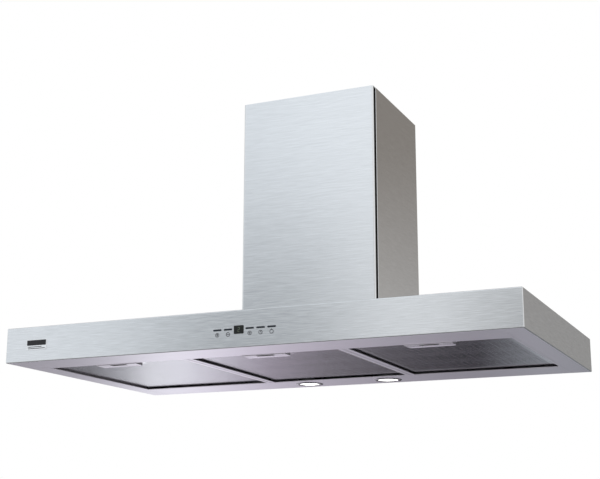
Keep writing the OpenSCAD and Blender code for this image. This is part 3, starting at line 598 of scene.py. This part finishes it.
# ---- Lamps ----------------------------------------------------------------------------------
# Each lamp has a spun chrome bezel pressed up into the panel, a frosted lens and a reflector
# bulb in a metal can. Both lamps are lit.
def draw_line(name, points):
    """Starts a piece as one corner, and draws it along points. It is left in edit mode."""
    bpy.ops.object.select_all(action="DESELECT")
    bpy.ops.mesh.primitive_plane_add(size=0.001, location=points[0])
    line = bpy.context.object
    line.name = name
    bpy.ops.object.transform_apply(location=True, rotation=False, scale=False)
    bpy.ops.object.mode_set(mode="EDIT")
    bpy.ops.mesh.select_mode(type="VERT")
    bpy.ops.mesh.select_all(action="SELECT")
    bpy.ops.mesh.merge(type="CENTER")
    for start, end in zip(points, points[1:]):
        step = Vector(end) - Vector(start)
        bpy.ops.mesh.extrude_vertices_move(TRANSFORM_OT_translate={"value": step})
    bpy.ops.mesh.select_all(action="SELECT")
    return line


def spun(name, outline, centre):
    """Spins an outline of radius and height about a vertical line."""
    piece = draw_line(name, [centre + Vector((radius, 0, height)) for radius, height in outline])
    bpy.ops.mesh.spin(steps=64, angle=math.radians(360), center=centre, axis=(0, 0, 1))
    bpy.ops.mesh.select_all(action="SELECT")
    bpy.ops.mesh.remove_doubles(threshold=0.000005)
    bpy.ops.mesh.normals_make_consistent(inside=False)
    bpy.ops.object.mode_set(mode="OBJECT")
    return piece


chrome = brushed_steel(
    "bezel_chrome", (0.28, 0.27, 0.29), roughness=0.09, depth=0.05, polish=0.3, relief=0.01)
lens_light = lit("lens_light", (1.0, 0.99, 0.97), strength=4.0, cells=420.0)
lens_r = 0.0185
for name in ("left", "right"):
    low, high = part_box("lamp_bezel_" + name)
    centre = Vector(((low.x + high.x) / 2, (low.y + high.y) / 2, 0))
    outer_r = (high.x - low.x) / 2
    collar_r = outer_r - 0.0042
    bezel = spun("bezel_" + name, (
        (lens_r, high.z), (lens_r, low.z * 0.45), (lens_r + 0.0005, low.z * 0.75),
        (lens_r + 0.0016, low.z), (lens_r + 0.003, low.z), (outer_r - 0.0022, low.z * 0.92),
        (outer_r - 0.0009, low.z * 0.7), (outer_r - 0.0002, low.z * 0.35), (outer_r, 0),
        (collar_r, 0), (collar_r, high.z), (lens_r, high.z)), centre)
    smooth(bezel, 50)
    fit(bezel, chrome, "hood", "bezel_chrome", "lamp_bezel_" + name)
    lens = spun("lens_" + name, (
        (0, 0.0018), (lens_r - 0.0001, 0.0018), (lens_r - 0.0001, 0), (lens_r - 0.001, -0.0002),
        (lens_r * 0.6, -0.0001), (0, 0.0001)), centre)
    smooth(lens, 50)
    if name == "left":
        fit(lens, lens_light, "hood", "lamp_glass", "lamp_lenses")
    else:
        fit(lens, lens_light, "hood", "lamp_glass")


# ---- Filters --------------------------------------------------------------------------------
# Three equal cassettes: an aluminium frame, a face of perforated sheet, and a pack of expanded
# mesh behind it. One perforated face is modelled, and the other two are copies.
def pick_corners(wanted):
    """Selects the corners in edit mode whose places are wanted."""
    mesh = bpy.context.object.data
    bpy.ops.mesh.select_mode(type="VERT")
    bpy.ops.mesh.select_all(action="DESELECT")
    for corner in bmesh.from_edit_mesh(mesh).verts:
        corner.select_set(wanted(corner.co))
    bmesh.update_edit_mesh(mesh)


low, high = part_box("filter_grille_centre")
hole_pitch = 0.0048
hole_r = 0.00165
border = 0.009
across = int((high.x - low.x - 2 * border) / hole_pitch)
along = int((high.y - low.y - 2 * border) / hole_pitch)
side_margin = (high.x - low.x - across * hole_pitch) / 2
end_margin = (high.y - low.y - along * hole_pitch) / 2
first = Vector((low.x + side_margin + hole_pitch / 2, low.y + end_margin + hole_pitch / 2, low.z))
bpy.ops.object.select_all(action="DESELECT")
bpy.ops.mesh.primitive_plane_add(size=hole_pitch, location=first)
grille = bpy.context.object
grille.name = "perforated_face_centre"
bpy.ops.object.transform_apply(location=True, rotation=False, scale=False)
bpy.ops.object.mode_set(mode="EDIT")
bpy.ops.mesh.subdivide(number_cuts=1)
pick_corners(lambda point: (point - first).length < hole_pitch / 10)
bpy.ops.mesh.delete(type="VERT")
bpy.ops.mesh.primitive_circle_add(vertices=8, radius=hole_r, fill_type="NOTHING", location=first)
bpy.ops.mesh.select_all(action="SELECT")
bpy.ops.mesh.bridge_edge_loops()
bpy.ops.mesh.select_all(action="SELECT")
bpy.ops.mesh.normals_make_consistent(inside=False)
bpy.ops.object.mode_set(mode="OBJECT")
for number, way in ((across, (hole_pitch, 0, 0)), (along, (0, hole_pitch, 0))):
    shape_with(grille, "ARRAY", count=number, use_relative_offset=False,
               use_constant_offset=True, constant_offset_displace=way,
               use_merge_vertices=True, merge_threshold=0.00002)

# Plain border, drawn out of the outermost edges
near = 0.00005
bpy.ops.object.mode_set(mode="EDIT")
for way, margin, at in (
        (Vector((-1, 0, 0)), side_margin, low.x + side_margin),
        (Vector((1, 0, 0)), side_margin, high.x - side_margin),
        (Vector((0, -1, 0)), end_margin, low.y + end_margin),
        (Vector((0, 1, 0)), end_margin, high.y - end_margin)):
    axis = 0 if way.x else 1
    pick_edges(lambda start, end: abs(start[axis] - at) < near and abs(end[axis] - at) < near)
    bpy.ops.mesh.extrude_edges_move(TRANSFORM_OT_translate={"value": way * margin})

# Plain field round the latch, with the opening for its neck
pocket_wall = 0.0016
opening_half = 0.019
opening_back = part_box("filter_latch_centre")[1].y - 0.0005
field_cells = 9
field_rows = 5
field_half = (across % 2 + 2 * field_cells) * hole_pitch / 2
field_back = low.y + end_margin + field_rows * hole_pitch
pick_faces(lambda middle, normal: abs(middle.x) < field_half and middle.y < field_back)
bpy.ops.mesh.delete(type="FACE")
pick_corners(lambda point: abs(abs(point.x) - field_half) < near and abs(point.y - low.y) < near)
bpy.ops.mesh.edge_face_add()
bpy.ops.mesh.primitive_plane_add(size=1, location=(0, 0, low.z))
opening = ((-opening_half, low.y + pocket_wall), (opening_half, low.y + pocket_wall),
           (opening_half, opening_back), (-opening_half, opening_back))
corners = [corner for corner in bmesh.from_edit_mesh(grille.data).verts if corner.select]
corners.sort(key=lambda corner: math.atan2(corner.co.y, corner.co.x))
for corner, (x, y) in zip(corners, opening):
    corner.co.x = x
    corner.co.y = y
bmesh.update_edit_mesh(grille.data)
bpy.ops.mesh.delete(type="ONLY_FACE")
pick_edges(lambda start, end: max(abs(start.x), abs(end.x)) < field_half + near
           and max(start.y, end.y) < field_back + near)
bpy.ops.mesh.fill(use_beauty=True)
bpy.ops.mesh.select_all(action="SELECT")
bpy.ops.mesh.normals_make_consistent(inside=False)
bpy.ops.object.mode_set(mode="OBJECT")
if grille.data.polygons[0].normal.z > 0:
    grille.data.flip_normals()
shape_with(grille, "SOLIDIFY", thickness=high.z - low.z, offset=-1)
smooth(grille)
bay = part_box("filter_grille_right")[0].x - low.x
names = ("left", "centre", "right")
perforated = brushed_steel(
    "grille_steel", (0.70, 0.68, 0.73), roughness=0.13, depth=0.05, polish=0.3, relief=0.01)
aluminium = brushed_steel(
    "frame_aluminium", (0.74, 0.74, 0.77), roughness=0.36, depth=0.15, polish=0.8)


def expanded_mesh(name):
    """Layers of expanded aluminium: bright strands round near-black diamonds that are painted shade of
    the openings, with oil-dulled patches.
    """
    material, tree, shader = new_finish(name)
    shader.inputs["Metallic"].default_value = 1.0
    where = place(tree, "TexCoord")
    stretched = place(tree, "Mapping", {
        "Vector": where.outputs["Object"], "Scale": (120.0, 220.0, 220.0)})
    strands = place(tree, "TexVoronoi", {
        "Vector": stretched.outputs[0], "Scale": 1.0, "Randomness": 0.35},
        feature="DISTANCE_TO_EDGE")
    strand = place(tree, "MapRange", {
        "Value": strands.outputs["Distance"], "From Min": 0.1, "From Max": 0.22,
        "To Min": 1.0, "To Max": 0.0})
    oil = noise(tree, 14.0, 3.0)
    wire_tone = place(tree, "Mix", {
        0: oil, 6: (0.66, 0.66, 0.69, 1), 7: (0.42, 0.41, 0.42, 1)}, data_type="RGBA")
    # Near-black between the strands: painted shade of the pack's openings
    tone = place(tree, "Mix", {
        0: strand.outputs[0], 6: (0.012, 0.012, 0.014, 1), 7: wire_tone.outputs[2]}, data_type="RGBA")
    tree.links.new(tone.outputs[2], shader.inputs["Base Color"])
    dull = place(tree, "MapRange", {"Value": oil, "To Min": 0.35, "To Max": 0.6})
    tree.links.new(dull.outputs[0], shader.inputs["Roughness"])
    add_relief(tree, shader, strand.outputs[0], 0.8, 0.001)
    return material


def finish_node(node, material):
    """Gives a node that keeps its own shape its finish."""
    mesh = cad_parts[node].data
    mesh.materials.clear()
    mesh.materials.append(material)


filter_pack = expanded_mesh("filter_mesh")
for name, shift in zip(names, (-bay, 0, bay)):
    face = grille if name == "centre" else set_apart(grille, "perforated_face_" + name, shift)
    fit(face, perforated, "filter_" + name, "grille_steel", "filter_grille_" + name)
    cassette = eased_copy("filter_frame_" + name, 0.0004)
    fit(cassette, aluminium, "filter_" + name, "frame_aluminium", "filter_frame_" + name)
    finish_node("filter_mesh_" + name, filter_pack)


# ---- Filter latches -------------------------------------------------------------------------
# A pressed plate under each filter's face, with a rounded finger slot. It is riveted to a black
# moulded slide inside the frame, whose tongue holds the filter up on the front rail.
low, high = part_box("filter_latch_centre")
tongue_out = 0.0014
plate_t = 0.0044
plate_front = low.y + tongue_out
plate_half = high.x
plate_slant = 0.001
slot_half = 0.016
slot_front = plate_front + 0.0025
slot_back = slot_front + 0.011
slide_half = 0.022
slide_z = high.z - 0.004
slide_front = plate_front + 0.0023
neck_half = 0.018
neck_front = slot_back + 0.001
neck_end = neck_front + 0.005
tongue_half = 0.009
tongue_t = 0.002
plate = new_block("latch_centre", (-plate_half, plate_front, low.z),
                  (plate_half, high.y, low.z + plate_t))
bpy.ops.object.mode_set(mode="EDIT")
pick_faces(lambda middle, normal: normal.y > 0.9)
bpy.ops.transform.resize(value=(1 - plate_slant / plate_half, 1, 1), center_override=(0, 0, 0))
pick_edges(lambda start, end: abs(end.z - start.z) > plate_t / 2 and start.y > slot_back)
bpy.ops.mesh.bevel(offset=0.004, segments=5, affect="EDGES")
pick_faces(lambda middle, normal: normal.z < -0.9)
bpy.ops.mesh.inset(thickness=0.0022)
bpy.ops.transform.translate(value=(0, 0, 0.0005))
bpy.ops.object.mode_set(mode="OBJECT")
cut_out(plate, rounded_bar("slot", (-slot_half, slot_front, low.z - 0.001),
                           (slot_half, slot_back, low.z + plate_t + 0.001), 0.0025, 2))
ease_edges(plate, 0.00035, degrees=40)
slide = new_block("slide", (-slide_half, slide_front, slide_z), (slide_half, neck_end, high.z))
cut_out(slide, rounded_bar("hollow", (-slot_half, slide_front + 0.0025, slide_z - 0.001),
                           (slot_half, neck_front - 0.001, high.z + 0.001), 0.002, 2))
tongue = new_block("tongue", (-tongue_half, low.y, slide_z),
                   (tongue_half, slide_front, slide_z + tongue_t))
bpy.ops.object.mode_set(mode="EDIT")
pick_edges(lambda start, end: max(start.y, end.y) < low.y + near
           and max(start.z, end.z) < slide_z + near)
bpy.ops.mesh.bevel(offset=0.0008, segments=3, affect="EDGES")
bpy.ops.object.mode_set(mode="OBJECT")
neck = new_block("neck", (-neck_half, neck_front, low.z + plate_t),
                 (neck_half, neck_end, slide_z))
slide = join([slide, tongue, neck], "latch_slide_centre")
ease_edges(slide, 0.0002, degrees=60)
smooth(plate)
smooth(slide)
latch_metal = brushed_steel(
    "latch_metal", (0.78, 0.75, 0.80), roughness=0.28, depth=0.15, polish=1.2, relief=0.06)
slide_plastic = gloss("slide_plastic", (0.006, 0.006, 0.007), roughness=0.5, speckle=0.002)
for name, shift in zip(names, (-bay, 0, bay)):
    piece = plate if name == "centre" else set_apart(plate, "latch_" + name, shift)
    fit(piece, latch_metal, "latch_" + name, "latch_metal", "filter_latch_" + name)
    # The slot's walls take the slide's black finish, as painted shade of the slot's dark inside
    finish_faces(piece, slide_plastic, lambda middle, normal: abs(normal.z) < 0.1
                 and abs(middle.x - shift) < slot_half + near
                 and slot_front - near < middle.y < slot_back + near)
    piece = slide if name == "centre" else set_apart(slide, "latch_slide_" + name, shift)
    fit(piece, slide_plastic, "latch_" + name, "box_plastic")


# ---- Chimney cover --------------------------------------------------------------------------
# The front panel and the two side panels are folded from the same brushed sheet. Folded
# channels join them and line a shadow gap at each front corner, coloured near-black as painted shade.
def folded_sheet(name, path, along, outward, bend):
    """Folds a sheet along a path of its outer face. `outward` is where its largest face looks."""
    folded = draw_line(name, path)
    bpy.ops.mesh.extrude_edges_move(TRANSFORM_OT_translate={"value": along})
    bpy.ops.mesh.select_all(action="SELECT")
    bpy.ops.mesh.normals_make_consistent(inside=False)
    bpy.ops.object.mode_set(mode="OBJECT")
    largest = max(folded.data.polygons, key=lambda face: face.area)
    if largest.normal.dot(Vector(outward)) < 0:
        folded.data.flip_normals()
    ease_edges(folded, bend, segments=4)
    shape_with(folded, "SOLIDIFY", thickness=sheet, offset=-1, use_even_offset=True)
    ease_edges(folded, 0.0002, degrees=60)
    smooth(folded)
    return folded


cover_steel = brushed_steel(
    "cover_steel", (0.80, 0.815, 0.83), roughness=0.16, depth=0.24, polish=0.8)
# Near-black: painted shade for the dark inside of the shadow gaps
gap_steel = brushed_steel(
    "gap_steel", (0.025, 0.024, 0.023), roughness=0.55, depth=0.2, polish=0.3)
low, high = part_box("chimney_front_panel")
rise = Vector((0, 0, high.z - low.z))
return_x = high.x - 0.014
front_panel = folded_sheet("chimney_front", (
    (-return_x, high.y, low.z), (low.x, high.y, low.z), (low.x, low.y, low.z),
    (high.x, low.y, low.z), (high.x, high.y, low.z), (return_x, high.y, low.z)),
    rise, (0, -1, 0), 0.003)
fit(front_panel, cover_steel, "hood", "cover_steel", "chimney_front_panel")

side_flange = 0.015
gap_x = high.x - 0.008
gap_edge_x = high.x - 0.0002
gap_front = high.y
for name, side in (("left", -1), ("right", 1)):
    low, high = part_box("chimney_side_" + name)
    outer_x = side * max(abs(low.x), abs(high.x))
    inner_x = outer_x - side * side_flange
    panel = folded_sheet("chimney_side_" + name + "_panel", (
        (inner_x, low.y, low.z), (outer_x, low.y, low.z), (outer_x, high.y, low.z),
        (inner_x, high.y, low.z)), rise, (side, 0, 0), 0.0009)
    fit(panel, cover_steel, "hood", "cover_steel", "chimney_side_" + name)
    channel = folded_sheet("gap_channel_" + name, (
        (side * gap_edge_x, gap_front + sheet, low.z), (side * gap_x, gap_front + sheet, low.z),
        (side * gap_x, low.y - sheet, low.z), (side * gap_edge_x, low.y - sheet, low.z)),
        rise, (side, 0, 0), 0.0006)
    if name == "left":
        fit(channel, gap_steel, "hood", "gap_steel", "gap_channels")
    else:
        fit(channel, gap_steel, "hood", "gap_steel")

low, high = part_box("upper_chimney_cover")
back_return = 0.012
upper_cover = folded_sheet("upper_cover", (
    (low.x + back_return, high.y, low.z), (low.x, high.y, low.z), (low.x, low.y, low.z),
    (high.x, low.y, low.z), (high.x, high.y, low.z), (high.x - back_return, high.y, low.z)),
    Vector((0, 0, high.z - low.z)), (0, -1, 0), 0.0018)
fit(upper_cover, cover_steel, "upper_cover", "cover_steel", "upper_chimney_cover")


# ---- Blower, collar and wall fixings --------------------------------------------------------
# Galvanised airbox, scroll and brackets, a moulded collar with two damper flaps, an enamelled
# motor, and the boxes, leads and screws round them.
def galvanised(name, colour, roughness):
    """Zinc-coated sheet with its spangle, and dulled patches."""
    material, tree, shader = new_finish(name)
    shader.inputs["Metallic"].default_value = 1.0
    where = place(tree, "TexCoord")
    flakes = place(tree, "TexVoronoi", {"Vector": where.outputs["Object"], "Scale": 85.0})
    flake = place(tree, "SeparateColor", {0: flakes.outputs["Color"]})
    spangle = place(tree, "Mix", {
        0: flake.outputs[0], 6: (*colour, 1), 7: tinted(colour, 0.72)}, data_type="RGBA")
    surface = worn_edges(tree, spangle.outputs[2], tinted(colour, 1.2), 0.001, 0.8)
    tree.links.new(surface, shader.inputs["Base Color"])
    uneven = maths(tree, "MULTIPLY_ADD", flake.outputs[1], 0.12, roughness - 0.1)
    tree.links.new(maths(tree, "MULTIPLY_ADD", noise(tree, 20.0, 4.0), 0.15, uneven),
                   shader.inputs["Roughness"])
    add_relief(tree, shader, flake.outputs[2], 0.1, 0.0003)
    return material


def glass_fibre_board(name):
    """Green circuit board with its copper tracks showing through the lacquer."""
    material, tree, shader = new_finish(name)
    where = place(tree, "TexCoord")
    tracks = place(tree, "TexBrick", {
        "Vector": where.outputs["Object"], "Scale": 120.0, "Mortar Size": 0.03,
        "Color1": (0.01, 0.09, 0.03, 1), "Color2": (0.012, 0.11, 0.035, 1),
        "Mortar": (0.05, 0.22, 0.08, 1)})
    tree.links.new(tracks.outputs["Color"], shader.inputs["Base Color"])
    dull = place(tree, "MapRange", {
        "Value": noise(tree, 400.0, 2.0), "To Min": 0.25, "To Max": 0.45})
    tree.links.new(dull.outputs[0], shader.inputs["Roughness"])
    return material


zinc = galvanised("galvanised", (0.62, 0.64, 0.66), roughness=0.42)
scroll_zinc = galvanised("scroll_steel", (0.56, 0.58, 0.60), roughness=0.45)
grey_plastic = gloss("collar_plastic", (0.10, 0.105, 0.11), roughness=0.42, speckle=0.01)
black_plastic = gloss("box_plastic", (0.02, 0.021, 0.023), roughness=0.4, speckle=0.006)
light_plastic = gloss("impeller_plastic", (0.36, 0.37, 0.38), roughness=0.38, speckle=0.01)
enamel_grey = gloss("motor_enamel", (0.035, 0.04, 0.045), roughness=0.28, speckle=0.006, coat=0.5)
can_aluminium = brushed_steel(
    "capacitor_shell", (0.72, 0.73, 0.75), roughness=0.3, depth=0.1, polish=0.4)
shaft_steel = brushed_steel(
    "shaft_steel", (0.66, 0.66, 0.67), roughness=0.18, depth=0.1, polish=0.2)
screw_steel = brushed_steel(
    "screw_steel", (0.60, 0.60, 0.62), roughness=0.25, depth=0.1, polish=1.0)
sleeve = gloss("wire_sleeve", (0.03, 0.03, 0.034), roughness=0.5, speckle=0.01)
board_green = glass_fibre_board("board_laminate")
bulb_glass = lit("bulb_glass", (1.0, 0.97, 0.9), strength=2.0, cells=700.0)
for node, body, slot, material, edge in (
        ("airbox", "hood", "galvanised", zinc, 0.0004),
        ("wall_mounting_plate", "hood", "galvanised", zinc, 0.0005),
        ("motor_bracket", "hood", "galvanised", zinc, 0.0004),
        ("upper_cover_bracket", "upper_cover", "galvanised", zinc, 0.0004),
        ("scroll_housing", "hood", "scroll_steel", scroll_zinc, 0.0003),
        ("outlet_collar", "hood", "collar_plastic", grey_plastic, 0.0005),
        ("damper_flap_front", "flap_front", "collar_plastic", grey_plastic, 0.0003),
        ("damper_flap_rear", "flap_rear", "collar_plastic", grey_plastic, 0.0003),
        ("terminal_box", "hood", "box_plastic", black_plastic, 0.001),
        ("cable_gland", "hood", "box_plastic", black_plastic, 0.0005),
        ("control_housing", "hood", "box_plastic", black_plastic, 0.0006),
        ("lamp_transformer", "hood", "box_plastic", black_plastic, 0.001),
        ("motor", "hood", "motor_enamel", enamel_grey, 0.0012),
        ("run_capacitor", "hood", "capacitor_shell", can_aluminium, 0.0008),
        ("canopy_screws", "hood", "screw_steel", screw_steel, 0.0002),
        ("chimney_screws", "hood", "screw_steel", screw_steel, 0.0002),
        ("bracket_screws", "hood", "screw_steel", screw_steel, 0.0002)):
    fit(eased_copy(node, edge), material, body, slot, node)
for node, material in (
        ("control_board", board_green), ("display_module", black_plastic),
        ("button_switches", black_plastic), ("lamp_cans", can_aluminium),
        ("lamp_bulbs", bulb_glass), ("impeller", light_plastic), ("motor_shaft", shaft_steel),
        ("damper_pin", shaft_steel), ("internal_wiring", sleeve)):
    finish_node(node, material)


# ---- Floor and studio light -----------------------------------------------------------------
# A pale floor well below the hood, a white backdrop, and a surround whose soft bands of light
# the brushed steel mirrors.
bpy.ops.object.select_all(action="DESELECT")
floor_w = 60
floor_z = -1.25
bpy.ops.mesh.primitive_plane_add(size=floor_w, location=(0, 0, floor_z))
floor = bpy.context.object
floor.name = "floor"
floor_paint, tree, shader = new_finish("floor_paint")
shader.inputs["Base Color"].default_value = (0.82, 0.82, 0.83, 1)
shader.inputs["Roughness"].default_value = 0.8
floor.data.materials.append(floor_paint)
floor.visible_glossy = False

world = bpy.data.worlds.new("studio")
bpy.context.scene.world = world
world.use_nodes = True
tree = world.node_tree
tree.nodes.clear()


def band(tree, value, stops):
    """A smooth run of light round the horizon: (bearing, brightness, blue, lilac) for each stop."""
    ramp = place(tree, "ValToRGB", {0: value})
    run = ramp.color_ramp.elements
    for degrees, bright, blue, lilac in stops:
        ends = {-180: run[0], 180: run[-1]}
        stop = ends.get(degrees) or run.new((degrees + 180) / 360)
        stop.color = (bright * (1 - blue), bright * (1 - lilac), bright * (1 + blue), 1)
    return ramp.outputs[0]


where = place(tree, "TexCoord")
ray = place(tree, "SeparateXYZ", {0: where.outputs["Generated"]})
bearing = maths(tree, "ARCTAN2", ray.outputs["X"], maths(tree, "MULTIPLY", ray.outputs["Y"], -1.0))
turn = maths(tree, "MULTIPLY_ADD", bearing, 1 / (2 * math.pi), 0.5)
# The light by bearing, in degrees from straight ahead of the hood, at four heights
eye_level = band(tree, turn, (
    (-180, 0.35, -0.02, 0), (-150, 0.20, 0, 0), (-110, 0.25, 0.01, 0), (-70, 1.00, 0.03, 0),
    (-37, 0.86, 0.04, 0), (-32.5, 0.86, 0.04, 0), (-28.5, 0.40, 0.05, 0), (-23, 0.38, 0.05, 0),
    (-19.3, 1.00, 0.02, 0), (-17.8, 0.99, 0.02, 0), (-14, 0.38, 0.02, 0), (10, 0.50, 0.01, 0),
    (40, 0.90, 0, 0), (80, 0.90, 0, 0), (125, 0.55, 0, 0), (157, 0.50, -0.04, 0),
    (166, 0.31, -0.02, 0), (172, 0.29, -0.02, 0), (180, 0.40, -0.02, 0)))
overhead = band(tree, turn, (
    (-180, 0.35, 0, 0), (-150, 0.20, 0, 0), (-110, 0.25, 0.01, 0), (-70, 1.00, 0.03, 0),
    (-27, 0.86, 0.05, 0), (-22, 1.03, 0.04, 0), (-15, 0.92, 0.03, 0), (10, 0.80, 0.01, 0),
    (40, 0.95, 0, 0), (80, 0.95, 0, 0), (125, 0.50, 0, 0), (150, 0.24, -0.10, 0),
    (170, 0.23, -0.10, 0), (180, 0.45, 0, 0)))
below = band(tree, turn, (
    (-180, 0.30, 0.06, 0), (-169, 0.36, 0.07, 0), (-167.3, 0.34, 0.07, 0),
    (-164.5, 0.03, 0.03, 0.04), (-161, 0.09, 0.02, 0.06), (-157, 0.26, 0.02, 0.08),
    (-154, 0.56, 0.03, 0.12), (-151, 1.20, 0.04, 0.04), (-149.5, 1.40, 0.03, 0.01),
    (-148, 0.70, 0.04, 0.02), (-146, 0.22, 0.04, 0.02), (-140, 0.18, 0.02, 0),
    (-60, 0.75, 0.02, 0), (0, 0.62, 0, 0), (60, 0.70, 0, 0), (140, 0.35, 0, 0), (155, 0.20, 0, 0),
    (180, 0.20, 0.06, 0)))
underfoot = band(tree, turn, (
    (-180, 0.08, 0, 0), (-172, 0.15, 0, 0), (-164, 0.90, 0.04, 0.06), (-157, 1.10, 0.04, 0.08),
    (-150, 1.15, 0.03, 0.06), (-142, 0.80, 0.03, 0.06), (-120, 0.65, 0, 0), (-60, 0.75, 0, 0),
    (-30, 0.45, 0, 0), (0, 0.60, 0, 0), (60, 0.75, 0, 0), (140, 0.60, 0, 0), (158, 0.06, 0, 0),
    (180, 0.08, 0, 0)))
climb = place(tree, "MapRange", {
    "Value": ray.outputs["Z"], "From Min": 0.18, "From Max": 0.31})
upper = place(tree, "Mix", {0: climb.outputs[0], 6: eye_level, 7: overhead}, data_type="RGBA")
nadir = place(tree, "MapRange", {
    "Value": ray.outputs["Z"], "From Min": -0.45, "From Max": -0.65, "To Min": 1.0, "To Max": 0.25})
descent = place(tree, "MapRange", {
    "Value": ray.outputs["Z"], "From Min": -0.19, "From Max": -0.32})
lower = place(tree, "Mix", {0: descent.outputs[0], 6: below, 7: underfoot}, data_type="RGBA")
lower = place(tree, "Mix", {
    0: 1.0, 6: lower.outputs[2], 7: nadir.outputs[0]}, data_type="RGBA", blend_type="MULTIPLY")
horizon = place(tree, "MapRange", {
    "Value": ray.outputs["Z"], "From Min": -0.05, "From Max": 0.04}, interpolation_type="SMOOTHSTEP")
surround = place(tree, "Mix", {
    0: horizon.outputs[0], 6: lower.outputs[2], 7: upper.outputs[2]}, data_type="RGBA")
seen = place(tree, "LightPath")
backdrop = place(tree, "Mix", {
    0: seen.outputs["Is Camera Ray"], 6: surround.outputs[2], 7: (1, 1, 1, 1)}, data_type="RGBA")
sky = place(tree, "Background", {"Color": backdrop.outputs[2], "Strength": 1.0})
world_end = tree.nodes.new("ShaderNodeOutputWorld")
tree.links.new(sky.outputs[0], world_end.inputs[0])

softbox = bpy.data.lights.new("softbox", "AREA")
softbox.energy = 10
softbox.size = 2.4
softbox_stand = bpy.data.objects.new("softbox", softbox)
softbox_stand.location = (1.2, -1.6, 2.8)
softbox_stand.rotation_euler = (Vector((0, -0.25, 0)) - softbox_stand.location).to_track_quat(
    "-Z", "Y").to_euler()
bpy.context.scene.collection.objects.link(softbox_stand)
bpy.context.scene.view_settings.view_transform = "Standard"
